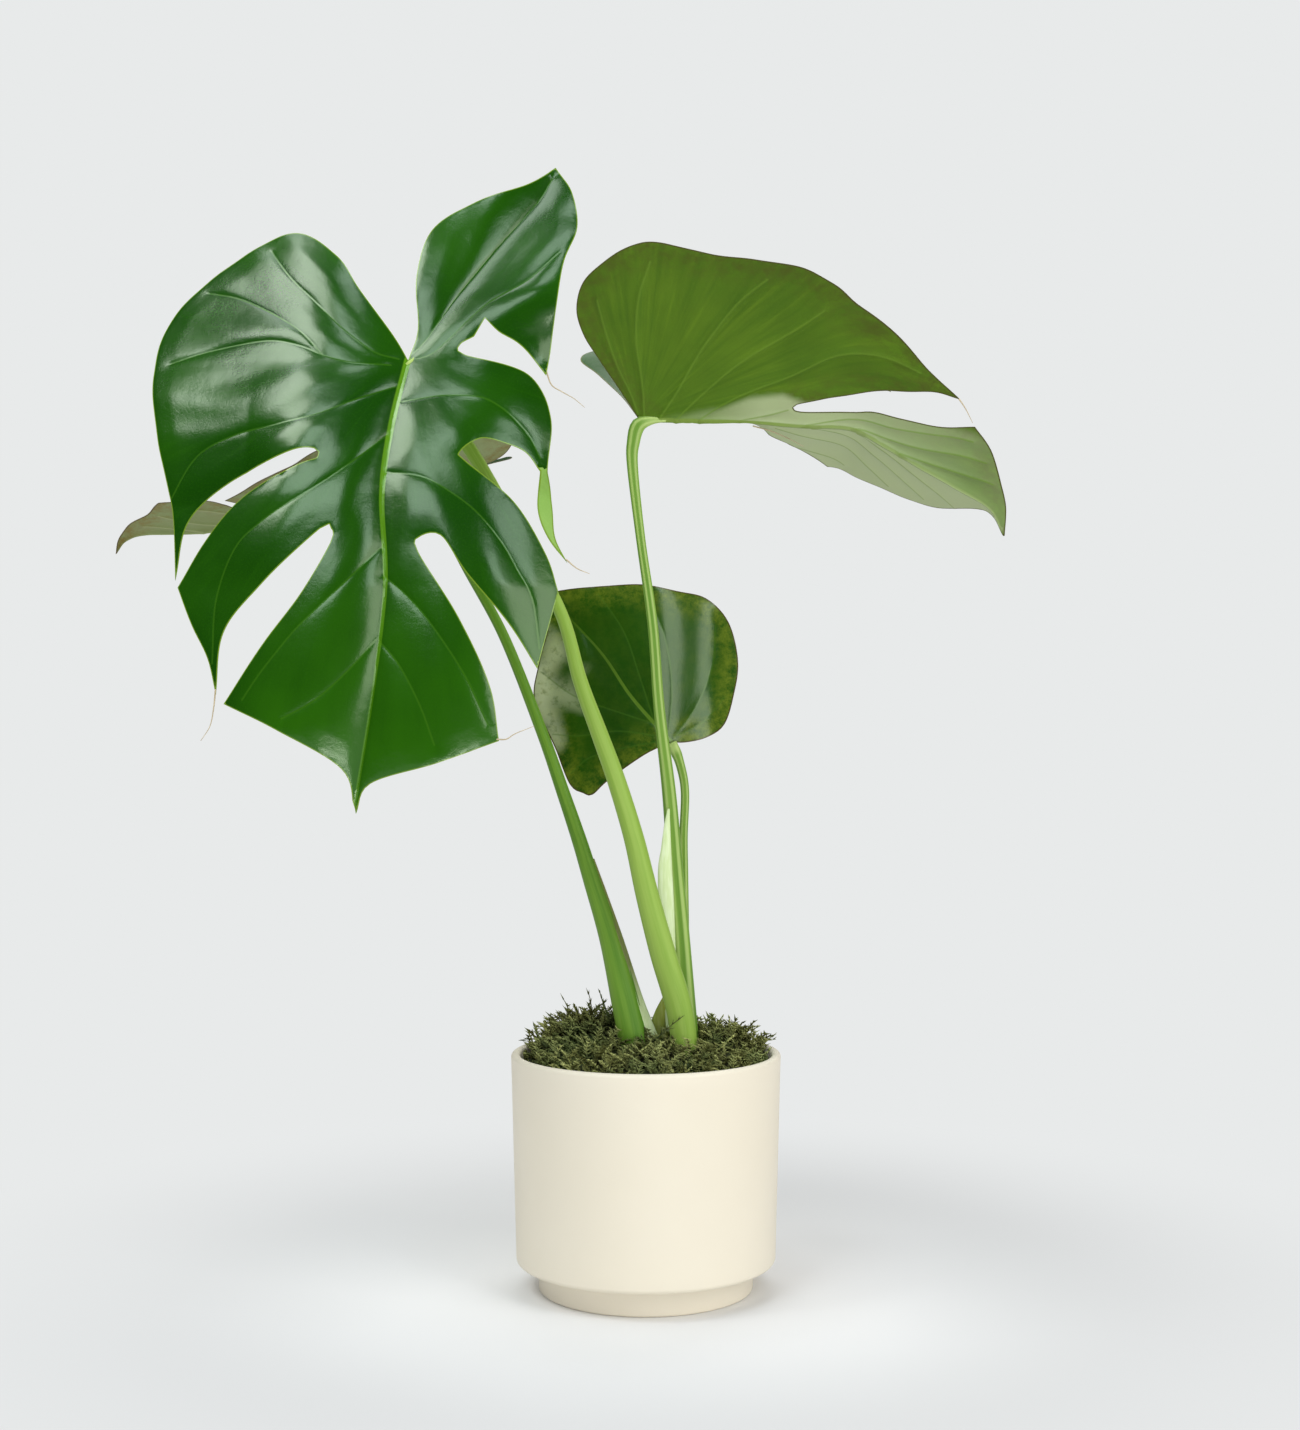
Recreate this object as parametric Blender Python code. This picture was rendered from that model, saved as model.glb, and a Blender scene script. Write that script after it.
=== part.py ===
"""A split-leaf plant in a ceramic pot: pot, soil, moss, crown, four stalks, sheaths and leaves.

Lengths in the tables are millimetres; the model is built in metres. The origin is the centre of
the pot's underside, +Z is up and the biggest leaf faces -Y.
"""
import math

import bmesh
import bpy
import numpy as np
from mathutils import Vector
from mathutils.geometry import delaunay_2d_cdt

MM = 0.001
GAP = 0.4  # clearance between touching pieces

# Pot
POT_HEIGHT = 139
POT_RIM_RADIUS = 79.6
POT_LOW_RADIUS = 76.0  # outer radius just above the foot
POT_WALL = 5.4
FOOT_RADIUS = 63.2
FOOT_HEIGHT = 15.5
FLOOR_TOP = 7  # inside of the pot's floor, within the foot
FLOOR_RADIUS = 57.2  # the inside steps in above the foot
STEP_TOP = 24
TURNS = 72  # facets round the pot, soil and moss

# Filling
SOIL_TOP = 112
MOSS_EDGE_TOP = 134
MOSS_RISE = 9
MOSS_SPREAD = 5400  # square of the distance out at which the mound has fallen back
MOSS_CLUMPS = [(-36, 26, 9, 800), (48, 24, 5, 700)]  # (x, y, rise, spread squared)
CROWN_CENTRE = (9, 7)
CROWN_RADIUS = 31
CROWN_LOBE = 1.6  # depth of the five lobes of its outline
CROWN_BOTTOM = 92
CROWN_TOP = 131

BLADE_THICKNESS = 0.8
EDGE_STEP = 9
GRID_STEP = 17
TUBE_SIDES = 10

# The front leaf is drawn as it is seen from the front: (x, z). Each run ends in a corner.
FRONT_JOINT = (-136, 541)
FRONT_MIDRIB = [(-157, 285), (-147, 351), (-142, 408), (-146, 460), (-143, 500), (-136, 541)]
FRONT_EDGE = [
    # upper left lobe, from the notch above the stalk to its low tip
    [(-145, 556), (-166, 585), (-181, 607), (-209, 624), (-245, 609), (-283, 577), (-291, 540),
     (-283, 497), (-271, 457), (-266, 414)],
    # first left slit
    [(-260, 447), (-237, 468), (-200, 484), (-184, 486), (-182, 481), (-192, 477), (-224, 459),
     (-246, 434), (-261, 409)],
    # second left lobe
    [(-250, 387), (-240, 369), (-234, 349)],
    [(-231, 383), (-210, 409), (-178, 440), (-172, 440), (-172, 432), (-187, 404), (-207, 377),
     (-229, 344)],
    # end lobe and drip tip
    [(-198, 330), (-163, 309), (-156, 285)],
    [(-148, 301), (-112, 312), (-79, 324)],
    # lowest right slit
    [(-84, 354), (-101, 391), (-124, 427), (-124, 435), (-112, 436), (-98, 416), (-75, 388),
     (-59, 363)],
    # third right lobe
    [(-48, 406)],
    [(-55, 427), (-73, 456), (-100, 479), (-103, 484), (-92, 492), (-79, 490), (-67, 485),
     (-59, 474)],
    # second right lobe, whose end hangs as a narrow tongue
    [(-60, 452), (-54, 436), (-43, 422)],
    [(-50, 436), (-52, 452), (-55, 474)],
    [(-54, 507), (-67, 532), (-103, 543), (-106, 549), (-98, 554)],
    # upper right lobe
    [(-92, 565)],
    [(-84, 557), (-71, 549), (-57, 532)],
    [(-51, 573), (-47, 601), (-40, 623), (-44, 648), (-54, 665)],
    [(-72, 652), (-102, 639), (-125, 622), (-133, 593), (-131, 560), FRONT_JOINT],
]
FRONT_JOINT_Y = -40
FRONT_REACH = 70  # how far the drip tip hangs in front of the joint
FRONT_LEAN = 0.5  # backward lean of the two lobes above the joint
FRONT_DROOP = 0.0019  # sideways curl away from the midrib, per millimetre squared

# The small leaf is drawn the same way.
SMALL_JOINT = (16, 321)
SMALL_EDGE = [
    [(25, 321), (38, 324), (49, 332), (55, 350), (58, 372), (52, 397), (38, 412), (19, 416),
     (-3, 420), (-25, 419), (-51, 417), (-63, 415)],
    [(-62, 393), (-67, 373), (-71, 352), (-66, 337), (-56, 316), (-47, 295), (-39, 290), (-33, 289),
     (-23, 298), (0, 314), SMALL_JOINT],
]
SMALL_JOINT_Y = 52
SMALL_LEAN = 0.12
SMALL_DROOP = 0.0015
SMALL_AXIS_X = -5

# The right and left leaves are drawn flat: (along the midrib, away from it). The near side is
# positive and the far side negative, and each side is then tilted about the midrib.
RIGHT_MIDRIB = [(-4, 15, 515), (56, 12, 513), (91, 8, 510), (121, 2, 508), (140, -2, 498),
                (161, -5, 485), (181, -8, 473), (202, -10, 459), (210, -10, 443)]
RIGHT_NEAR_TILT = 50
RIGHT_FAR_TILT = 30
RIGHT_END_TILT = -14  # the far side of the end lobe droops instead
SLIT_FOOT = 62  # where the far side's slit would meet the midrib
SLIT_SQUARE = (0.742, 0.671)  # direction square to that slit: (along, towards the midrib)
SLIT_BLEND = 12  # the two tilts blend over this width at the midrib, and less further out
RIGHT_EDGE = [
    [(-13, 22), (-25, 42), (-34, 58), (-38, 74), (-34, 91), (-22, 104), (-6, 114), (10, 116),
     (42, 109), (62, 107), (86, 104), (108, 94), (120, 80), (143, 60), (172, 52)],
    [(156, 47), (138, 34), (123, 23), (109, 19), (93, 15), (92, 11), (102, 10), (124, 11),
     (137, 17), (169, 29), (188, 41)],
    [(203, 33), (218, 16), (228, 8), (241, 0)],
    [(225, -4), (217, -11), (198, -40), (181, -51), (164, -56), (146, -62), (121, -63)],
    [(100, -38), (83, -20), (68, -4), (65, -8), (80, -29), (100, -52), (120, -74), (140, -90)],
    [(110, -106), (80, -113), (40, -118), (0, -122), (-30, -118), (-40, -102), (-28, -76),
     (-12, -38), (0, 0)],
]
LEFT_MIDRIB = [(-140, 80, 485), (-175, 82, 476), (-219, 84, 464), (-276, 84, 455),
               (-314, 80, 453), (-328, 77, 448), (-334, 75, 439)]
LEFT_NEAR_TILT = 18
LEFT_FAR_TILT = 10
LEFT_EDGE = [
    [(-20, 4), (-42, 3), (-56, 12), (-62, 32), (-52, 58), (-25, 78), (15, 86), (50, 80),
     (72, 70), (93, 60), (109, 49), (121, 40)],
    [(112, 31), (95, 23), (80, 19), (80, 13), (98, 19), (116, 26), (122, 33)],
    [(133, 44), (158, 46), (164, 42), (172, 28), (183, 19), (191, 10), (204, 0)],
    [(190, -8), (178, -24), (160, -38), (138, -42)],
    [(118, -28), (96, -18), (78, -13), (78, -19), (96, -28), (112, -42), (126, -58)],
    [(104, -70), (72, -80), (35, -88), (-10, -86), (-42, -70), (-56, -44), (-50, -18),
     (-26, -5), (0, 0)],
]

# Stalks: (x, y, z, radius) from the crown to the blade.
FRONT_STALK = [(24, -10, 131.5, 8.2), (20, -11, 165, 8.0), (10, -13, 199, 7.2),
               (1, -16, 233, 6.4), (-7, -19, 267, 5.0), (-17, -21, 300, 4.7),
               (-26, -23, 325, 4.6), (-38, -25, 358, 4.0), (-49, -27, 397, 3.6),
               (-73, -27, 442, 3.7), (-98, -28, 486, 4.0), (-120, -30, 518, 4.3),
               (-136, -37, 540, 4.6)]
LEFT_STALK = [(-9, -2, 131.5, 6.6), (-13, 0, 165, 6.0), (-24, 6, 205, 4.6), (-35, 14, 242, 4.3),
              (-42, 20, 265, 4.1), (-50, 27, 291, 3.4), (-64, 38, 329, 3.2), (-88, 54, 387, 3.1),
              (-112, 66, 430, 3.0), (-130, 75, 464, 3.2), (-139, 80, 483, 3.6)]
RIGHT_STALK = [(26, 12, 131.5, 6.8), (24, 13, 162, 6.2), (21, 14, 207, 5.2), (18, 17, 241, 4.9),
               (14, 19, 291, 4.2), (8, 20, 342, 3.4), (4, 20, 393, 3.1), (-3, 19, 443, 2.8),
               (-8, 17, 487, 3.2), (-5, 15, 513.5, 4.0)]
SMALL_STALK = [(22, 27, 131.5, 4.4), (23, 29, 190, 3.4), (23, 35, 240, 2.8), (23, 41, 264, 2.6),
               (24, 49, 291, 2.6), (21, 55, 308, 2.8), (17, 54.5, 319, 3.2)]

# Sheaths: rows of (z, free edge x, free edge y, stalk edge x, stalk edge y).
RIGHT_SHEATH = [(150, 12, 10, 16.6, 12), (196, 9, 8, 14.5, 12.4), (235, 6, 8.5, 11.6, 14.4),
                (252, 7, 9, 11.4, 14.4), (272, 10.2, 11, 12.2, 12.6), (281, 11.6, 11.6, 12.2, 12.4)]
LEFT_SHEATH = [(150, -0.8, -5, -3.4, -1), (178, -7, -1.5, -9.4, 2), (206, -16, 2.5, -17.8, 6),
               (232, -24.4, 9, -25.8, 12), (254, -32.2, 13, -32.6, 16)]
STUB_SHEATH = [(140, 0, 8, 13, 9), (152, 2, 7, 13, 9), (163, 6, 6, 13.5, 8), (173, 11.5, 5, 13, 7)]
SHEATH_ROOM = 2.6  # width of the slot in the moss that a sheath stands in
SHEATH_THICKNESS = 1.0
SHEATH_BOW = 0.12  # how far a sheath bulges, as a share of its width
SHEATHS = {"right_sheath": RIGHT_SHEATH, "left_sheath": LEFT_SHEATH, "stub_sheath": STUB_SHEATH}
STALKS = {"front_stalk": FRONT_STALK, "left_stalk": LEFT_STALK, "right_stalk": RIGHT_STALK,
          "small_stalk": SMALL_STALK}
# The direction square to each blade where its stalk meets it.
JOINT_WAYS = {"front_stalk": Vector((0, -0.88, 0.48)), "left_stalk": Vector((-0.2, 0, 0.98)),
              "right_stalk": Vector((0, 0, 1)), "small_stalk": Vector((0, -0.99, 0.12))}

COLOURS = {
    "pot": ((0.86, 0.80, 0.68, 1), 0.55),
    "potting_soil": ((0.05, 0.035, 0.02, 1), 0.95),
    "moss_topping": ((0.07, 0.08, 0.03, 1), 0.9),
    "crown": ((0.2, 0.22, 0.06, 1), 0.6),
    "front_stalk": ((0.3, 0.5, 0.09, 1), 0.4),
    "left_stalk": ((0.12, 0.3, 0.03, 1), 0.4),
    "right_stalk": ((0.25, 0.42, 0.1, 1), 0.4),
    "small_stalk": ((0.22, 0.4, 0.08, 1), 0.4),
    "right_sheath": ((0.5, 0.65, 0.3, 1), 0.5),
    "left_sheath": ((0.35, 0.5, 0.15, 1), 0.5),
    "stub_sheath": ((0.45, 0.55, 0.15, 1), 0.5),
    "front_leaf": ((0.01, 0.07, 0.005, 1), 0.25),
    "left_leaf": ((0.2, 0.26, 0.1, 1), 0.5),
    "right_leaf": ((0.08, 0.2, 0.03, 1), 0.5),
    "small_leaf": ((0.03, 0.08, 0.01, 1), 0.35),
}


def clear_scene():
    for existing in list(bpy.data.objects):
        bpy.data.objects.remove(existing)


def add_object(name, vertices, faces):
    """Make a named object from millimetre vertices, with its own material."""
    mesh = bpy.data.meshes.new(name)
    mesh.from_pydata([Vector(v) * MM for v in vertices], [], faces)
    builder = bmesh.new()
    builder.from_mesh(mesh)
    bmesh.ops.recalc_face_normals(builder, faces=builder.faces)
    builder.to_mesh(mesh)
    builder.free()
    made = bpy.data.objects.new(name, mesh)
    bpy.context.collection.objects.link(made)
    if name in COLOURS:
        colour, roughness = COLOURS[name]
        material = bpy.data.materials.new(name)
        material.use_nodes = True
        shader = material.node_tree.nodes["Principled BSDF"]
        shader.inputs["Base Color"].default_value = colour
        shader.inputs["Roughness"].default_value = roughness
        mesh.materials.append(material)
    mesh.shade_smooth()
    mesh.set_sharp_from_angle(angle=math.radians(40))
    return made


def add_cutter(target, name, vertices, faces):
    """Cut a clearance for one piece out of another."""
    cutter = add_object(name, vertices, faces)
    cutter.hide_render = True
    cutter.display_type = "WIRE"
    cut = target.modifiers.new(name, "BOOLEAN")
    cut.operation = "DIFFERENCE"
    cut.solver = "EXACT"
    cut.object = cutter


def smooth_run(points, step):
    """Points at about one step apart on a smooth curve through the given points."""
    knots = [np.array(p, float) for p in points]
    ends = [2 * knots[0] - knots[1]] + knots + [2 * knots[-1] - knots[-2]]
    run = []
    for before, start, end, after in zip(ends, ends[1:], ends[2:], ends[3:]):
        pieces = max(1, math.ceil(np.linalg.norm(end - start) / step))
        for i in range(pieces):
            t = i / pieces
            bend = (2 * before - 5 * start + 4 * end - after) * t * t
            twist = (3 * start - before - 3 * end + after) * t**3
            run.append(start + 0.5 * ((end - before) * t + bend + twist))
    run.append(knots[-1])
    return run


def flat_blade(edge, joint, edge_step, grid_step):
    """Triangulate a leaf's flat outline: 2-D points and triangles."""
    outline = []
    corner = joint
    for run in edge:
        outline += smooth_run([corner] + run, edge_step)[:-1]
        corner = run[-1]
    ring = np.array(outline)
    low, high = ring.min(0), ring.max(0)
    row_height = grid_step * math.sqrt(0.75)
    inner = []
    for row in range(int((high[1] - low[1]) / row_height) + 1):
        shift = grid_step / 2 * (row % 2)
        for column in range(int((high[0] - low[0]) / grid_step) + 1):
            spot = low + (column * grid_step + shift, (row + 0.5) * row_height)
            if inside(spot, ring) and distance_to_ring(spot, ring) > 0.45 * grid_step:
                inner.append(spot)
    points = [Vector(p) for p in outline + inner]
    flat, _, faces, *_ = delaunay_2d_cdt(points, [], [list(range(len(outline)))], 1, 1e-4)
    return [tuple(p) for p in flat], faces


def inside(spot, ring):
    """Whether a point is inside a closed outline."""
    after = np.roll(ring, -1, axis=0)
    crosses = (ring[:, 1] > spot[1]) != (after[:, 1] > spot[1])
    rise = np.where(after[:, 1] == ring[:, 1], 1, after[:, 1] - ring[:, 1])
    x = ring[:, 0] + (spot[1] - ring[:, 1]) / rise * (after[:, 0] - ring[:, 0])
    return np.count_nonzero(crosses & (x > spot[0])) % 2 == 1


def distance_to_ring(spot, ring):
    """How far a point is from the nearest side of a closed outline."""
    side = np.roll(ring, -1, axis=0) - ring
    along = ((spot - ring) * side).sum(1) / (side * side).sum(1)
    foot = ring + np.clip(along, 0, 1)[:, None] * side
    return np.linalg.norm(foot - spot, axis=1).min()


def add_blade(name, edge, joint, place):
    """Add a leaf: its flat outline, moved into its bent shape and given a thickness."""
    flat, faces = flat_blade(edge, joint, EDGE_STEP, GRID_STEP)
    blade = add_object(name, [place(*p) for p in flat], faces)
    solid = blade.modifiers.new("thickness", "SOLIDIFY")
    solid.thickness = BLADE_THICKNESS * MM
    solid.offset = 0
    return blade


def front_depth(x, z):
    """Depth of the front leaf's blade: it hangs forward and curls back at both sides."""
    drop = (FRONT_JOINT[1] - z) / (FRONT_JOINT[1] - FRONT_MIDRIB[0][1])
    if drop > 0:
        depth = FRONT_JOINT_Y - FRONT_REACH * (2 * drop - drop * drop)
    else:
        depth = FRONT_JOINT_Y + FRONT_LEAN * (z - FRONT_JOINT[1])
    heights = [p[1] for p in FRONT_MIDRIB]
    off_rib = x - np.interp(z, heights, [p[0] for p in FRONT_MIDRIB])
    return depth + FRONT_DROOP * off_rib**2


def small_depth(x, z):
    """Depth of the small leaf's blade: it leans back and curls back at both sides."""
    return SMALL_JOINT_Y + SMALL_LEAN * (z - SMALL_JOINT[1]) + SMALL_DROOP * (x - SMALL_AXIS_X) ** 2


def midrib_frame(midrib):
    """A function that gives the place and direction at a distance along a midrib."""
    curve = np.array(smooth_run(midrib, 4))
    steps = np.linalg.norm(np.diff(curve, axis=0), axis=1)
    lengths = np.concatenate([[0], np.cumsum(steps)])
    start_way = curve[9] - curve[0]
    start_way /= np.linalg.norm(start_way)

    def at(distance):
        if distance < 0:
            return curve[0] + start_way * distance, start_way
        ahead, behind = min(distance + 12, lengths[-1]), max(distance - 12, 0)
        spots = [[np.interp(d, lengths, curve[:, axis]) for axis in range(3)]
                 for d in (distance, ahead, behind)]
        way = np.array(spots[1]) - np.array(spots[2])
        return np.array(spots[0]), way / np.linalg.norm(way)

    return at


def tilted_blade(midrib, near_tilt, far_tilt):
    """Place a flat leaf point: each side rises from the midrib by its own tilt."""
    frame_at = midrib_frame(midrib)

    def place(along, away):
        spot, way = frame_at(along)
        up = np.array([-way[2], 0, way[0]]) * (1 if way[0] > 0 else -1)
        up /= np.linalg.norm(up)
        tilt = math.radians(near_tilt if away > 0 else far_tilt(along, -away))
        outward = np.array([0, -1 if away > 0 else 1, 0])
        return tuple(spot + abs(away) * (math.cos(tilt) * outward + math.sin(tilt) * up))

    return place


def right_far_tilt(along, away):
    """The far side rises towards the base and droops past the slit at the end lobe."""
    past_slit = (along - SLIT_FOOT) * SLIT_SQUARE[0] - away * SLIT_SQUARE[1]
    blend = min(max(past_slit / max(2, SLIT_BLEND - 0.5 * away) + 0.5, 0), 1)
    return RIGHT_FAR_TILT + (RIGHT_END_TILT - RIGHT_FAR_TILT) * blend


def left_far_tilt(along, away):
    return LEFT_FAR_TILT


def tube(path, step, grow=0.0, end_way=None):
    """A closed tapering tube; end_way turns its last face square to that direction."""
    spots = np.array(smooth_run(path, step))
    ways = np.gradient(spots[:, :3], axis=0)
    vertices = []
    for i, (spot, way) in enumerate(zip(spots, ways)):
        way = Vector(way).normalized()
        side = way.cross(Vector((0, 1, 0))).normalized()
        front = side.cross(way)
        centre = Vector(spot[:3])
        for k in range(TUBE_SIDES):
            turn = 2 * math.pi * k / TUBE_SIDES
            arm = (side * math.cos(turn) + front * math.sin(turn)) * (spot[3] + grow)
            if i == 0:
                arm -= way * (arm.z / way.z)
            if i == len(spots) - 1 and end_way:
                arm -= way * (arm.dot(end_way) / way.dot(end_way))
            vertices.append(centre + arm)
    return vertices, tube_faces(len(spots), TUBE_SIDES)


def tube_faces(rings, sides):
    """Faces of a closed tube of rings, with a flat cap at each end."""
    faces = [list(range(sides)), list(range((rings - 1) * sides, rings * sides))]
    for ring in range(rings - 1):
        for k in range(sides):
            a, b = ring * sides + k, ring * sides + (k + 1) % sides
            faces.append([a, b, b + sides, a + sides])
    return faces


def turned(profile):
    """A turned solid from (radius, height) points, which start and end on the axis."""
    vertices = [(0, 0, profile[0][1])]
    for radius, height in profile[1:-1]:
        for k in range(TURNS):
            turn = 2 * math.pi * k / TURNS
            vertices.append((radius * math.cos(turn), radius * math.sin(turn), height))
    vertices.append((0, 0, profile[-1][1]))
    faces = []
    last = len(vertices) - 1
    for k in range(TURNS):
        after = (k + 1) % TURNS
        faces.append([0, 1 + k, 1 + after])
        faces.append([last, last - TURNS + k, last - TURNS + after])
        for ring in range(len(profile) - 3):
            a, b = 1 + ring * TURNS + k, 1 + ring * TURNS + after
            faces.append([a, b, b + TURNS, a + TURNS])
    return vertices, faces


def outer_radius(z):
    return POT_LOW_RADIUS + (POT_RIM_RADIUS - POT_LOW_RADIUS) * z / POT_HEIGHT


def inner_radius(z):
    return outer_radius(z) - POT_WALL


def add_pot():
    profile = [(0, 0), (FOOT_RADIUS - 1.5, 0), (FOOT_RADIUS - 0.4, 0.4), (FOOT_RADIUS, 1.5),
               (FOOT_RADIUS + 0.2, FOOT_HEIGHT - 1), (FOOT_RADIUS + 1, FOOT_HEIGHT),
               (POT_LOW_RADIUS - 3, FOOT_HEIGHT + 0.8), (POT_LOW_RADIUS - 0.8, FOOT_HEIGHT + 2),
               (outer_radius(19), 19), (outer_radius(80), 80)]
    half_wall = POT_WALL / 2
    for degrees in range(0, 181, 30):
        turn = math.radians(degrees)
        radius = POT_RIM_RADIUS - half_wall + half_wall * math.cos(turn)
        profile.append((radius, POT_HEIGHT - 2 + 2 * math.sin(turn)))
    profile += [(inner_radius(60), 60)] + inner_floor(0) + [(0, FLOOR_TOP)]
    add_object("pot", *turned(profile))


def inner_floor(clearance):
    """The inside of the pot near its floor, from the wall down past the step to the floor."""
    corners = [(inner_radius(STEP_TOP + 3), STEP_TOP + 3), (inner_radius(STEP_TOP) - 2, STEP_TOP),
               (FLOOR_RADIUS + 3, STEP_TOP - 2), (FLOOR_RADIUS, STEP_TOP - 5),
               (FLOOR_RADIUS, FLOOR_TOP + 3), (FLOOR_RADIUS - 3, FLOOR_TOP)]
    return [(radius - clearance, height + clearance) for radius, height in corners]


def crown_shape(grow):
    """The squat base that the stalks grow from, with its lobed outline."""
    rings = [(0.7, CROWN_BOTTOM), (0.95, CROWN_BOTTOM + 8), (1.0, CROWN_TOP - 6), (0.96, CROWN_TOP)]
    sides = 24
    vertices = []
    for scale, height in rings:
        lift = grow if height > CROWN_BOTTOM else -grow
        for k in range(sides):
            turn = 2 * math.pi * k / sides
            radius = scale * (CROWN_RADIUS + CROWN_LOBE * math.cos(5 * turn)) + grow
            vertices.append((CROWN_CENTRE[0] + radius * math.cos(turn),
                             CROWN_CENTRE[1] + radius * math.sin(turn), height + lift))
    return vertices, tube_faces(len(rings), sides)


def add_soil():
    profile = [(0, FLOOR_TOP + GAP)] + inner_floor(GAP)[::-1]
    profile += [(inner_radius(60) - GAP, 60), (inner_radius(SOIL_TOP) - GAP, SOIL_TOP),
                (0, SOIL_TOP)]
    soil = add_object("potting_soil", *turned(profile))
    add_cutter(soil, "crown_room_in_soil", *crown_shape(GAP))


def moss_height(x, y):
    """Top of the moss: a low mound, with two higher clumps towards the back."""
    height = MOSS_EDGE_TOP + MOSS_RISE * (1 - (x * x + y * y) / MOSS_SPREAD)
    for clump_x, clump_y, rise, spread in MOSS_CLUMPS:
        height += rise * math.exp(-((x - clump_x) ** 2 + (y - clump_y) ** 2) / spread)
    return height


def add_moss():
    low = SOIL_TOP + GAP
    edge = inner_radius(MOSS_EDGE_TOP) - GAP
    radii = [edge, 68, 58, 47, 36, 25, 13]
    profile = [(0, low), (inner_radius(low) - GAP, low)] + [(r, MOSS_EDGE_TOP) for r in radii]
    vertices, faces = turned(profile + [(0, MOSS_EDGE_TOP)])
    shaped = [(x, y, moss_height(x, y) if z == MOSS_EDGE_TOP else z) for x, y, z in vertices]
    moss = add_object("moss_topping", shaped, faces)
    add_cutter(moss, "crown_room_in_moss", *crown_shape(GAP))
    for name, path in STALKS.items():
        root = [(*path[0][:2], path[0][2] - 3, path[0][3])] + path[:2]
        add_cutter(moss, name + "_room", *tube(root, 20, GAP))
    for name, rows in SHEATHS.items():
        add_cutter(moss, name + "_room", *sheath_shape(rows, SHEATH_ROOM))


def sheath_shape(rows, thickness):
    """A tapering leaf sheath: a bowed strip between its free edge and its stalk edge."""
    curve = smooth_run(rows, 9)
    across = 3
    vertices = []
    for z, free_x, free_y, stalk_x, stalk_y in curve:
        free, stalk = Vector((free_x, free_y, z)), Vector((stalk_x, stalk_y, z))
        width = stalk - free
        outward = Vector((width.y, -width.x, 0)).normalized()
        half = outward * thickness / 2
        longer = width.normalized() * (thickness - SHEATH_THICKNESS) / 2
        strip = []
        for k in range(across + 1):
            bow = math.sin(math.pi * k / across) * SHEATH_BOW * width.length
            strip.append(free - longer + (width + 2 * longer) * k / across + outward * bow)
        vertices += [p + half for p in strip] + [p - half for p in reversed(strip)]
    return vertices, tube_faces(len(curve), 2 * (across + 1))


def main():
    clear_scene()
    add_pot()
    add_soil()
    add_moss()
    add_object("crown", *crown_shape(0))
    for name, path in STALKS.items():
        add_object(name, *tube(path, 16, 0.0, JOINT_WAYS[name]))
    for name, rows in SHEATHS.items():
        add_object(name, *sheath_shape(rows, SHEATH_THICKNESS))
    add_blade("front_leaf", FRONT_EDGE, FRONT_JOINT, lambda x, z: (x, front_depth(x, z), z))
    add_blade("small_leaf", SMALL_EDGE, SMALL_JOINT, lambda x, z: (x, small_depth(x, z), z))
    add_blade("right_leaf", RIGHT_EDGE, (0, 0),
              tilted_blade(RIGHT_MIDRIB, RIGHT_NEAR_TILT, right_far_tilt))
    add_blade("left_leaf", LEFT_EDGE, (0, 0),
              tilted_blade(LEFT_MIDRIB, LEFT_NEAR_TILT, left_far_tilt))


main()
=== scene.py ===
import math
import random

import bpy
import numpy as np
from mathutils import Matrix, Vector
from mathutils.geometry import delaunay_2d_cdt


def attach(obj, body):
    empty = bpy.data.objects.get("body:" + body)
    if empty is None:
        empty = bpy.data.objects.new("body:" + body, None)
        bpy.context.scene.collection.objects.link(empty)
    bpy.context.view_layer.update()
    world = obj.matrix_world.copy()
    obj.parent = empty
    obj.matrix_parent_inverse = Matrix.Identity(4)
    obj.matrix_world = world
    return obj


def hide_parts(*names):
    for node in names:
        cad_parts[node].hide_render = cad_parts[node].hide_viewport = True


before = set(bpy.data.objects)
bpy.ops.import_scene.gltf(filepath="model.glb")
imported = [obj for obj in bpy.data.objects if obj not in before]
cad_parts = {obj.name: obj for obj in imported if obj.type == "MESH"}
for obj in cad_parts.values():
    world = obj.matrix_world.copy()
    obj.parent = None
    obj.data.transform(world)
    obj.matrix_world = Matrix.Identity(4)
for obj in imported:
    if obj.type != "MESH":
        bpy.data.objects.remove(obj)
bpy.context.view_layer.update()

MM = 0.001

# Pot
POT_HEIGHT = 139
POT_RIM_RADIUS = 79.6
POT_LOW_RADIUS = 76.0
POT_WALL = 5.4
FOOT_RADIUS = 63.2
FOOT_HEIGHT = 15.5
FLOOR_TOP = 7
FLOOR_RADIUS = 57.2
STEP_TOP = 24
POT_TURNS = 160

# Moss
MOSS_EDGE_TOP = 134
MOSS_RISE = 9
MOSS_LOW = 113
FROND_COUNT = 1050
SEED = 7

# Leaves
BLADE_THICKNESS = 0.6
WAVE_HEIGHT = 0.4
RIPPLE_HEIGHT = 0.45
GROOVE_DEPTH = 0.28
RIB_KEEL = 1.1  # how far a midrib and a vein stand out below
VEIN_KEEL = 0.45
CREASE_ANGLE = 50  # degrees; sharper edges, such as the rim's, aren't smoothed
EDGE_STEP = 3.0
GRID_STEP = 4.6
RIB_ROW = 2.0  # mesh rows this far each side of a midrib
VEIN_ROW = 1.6

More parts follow.
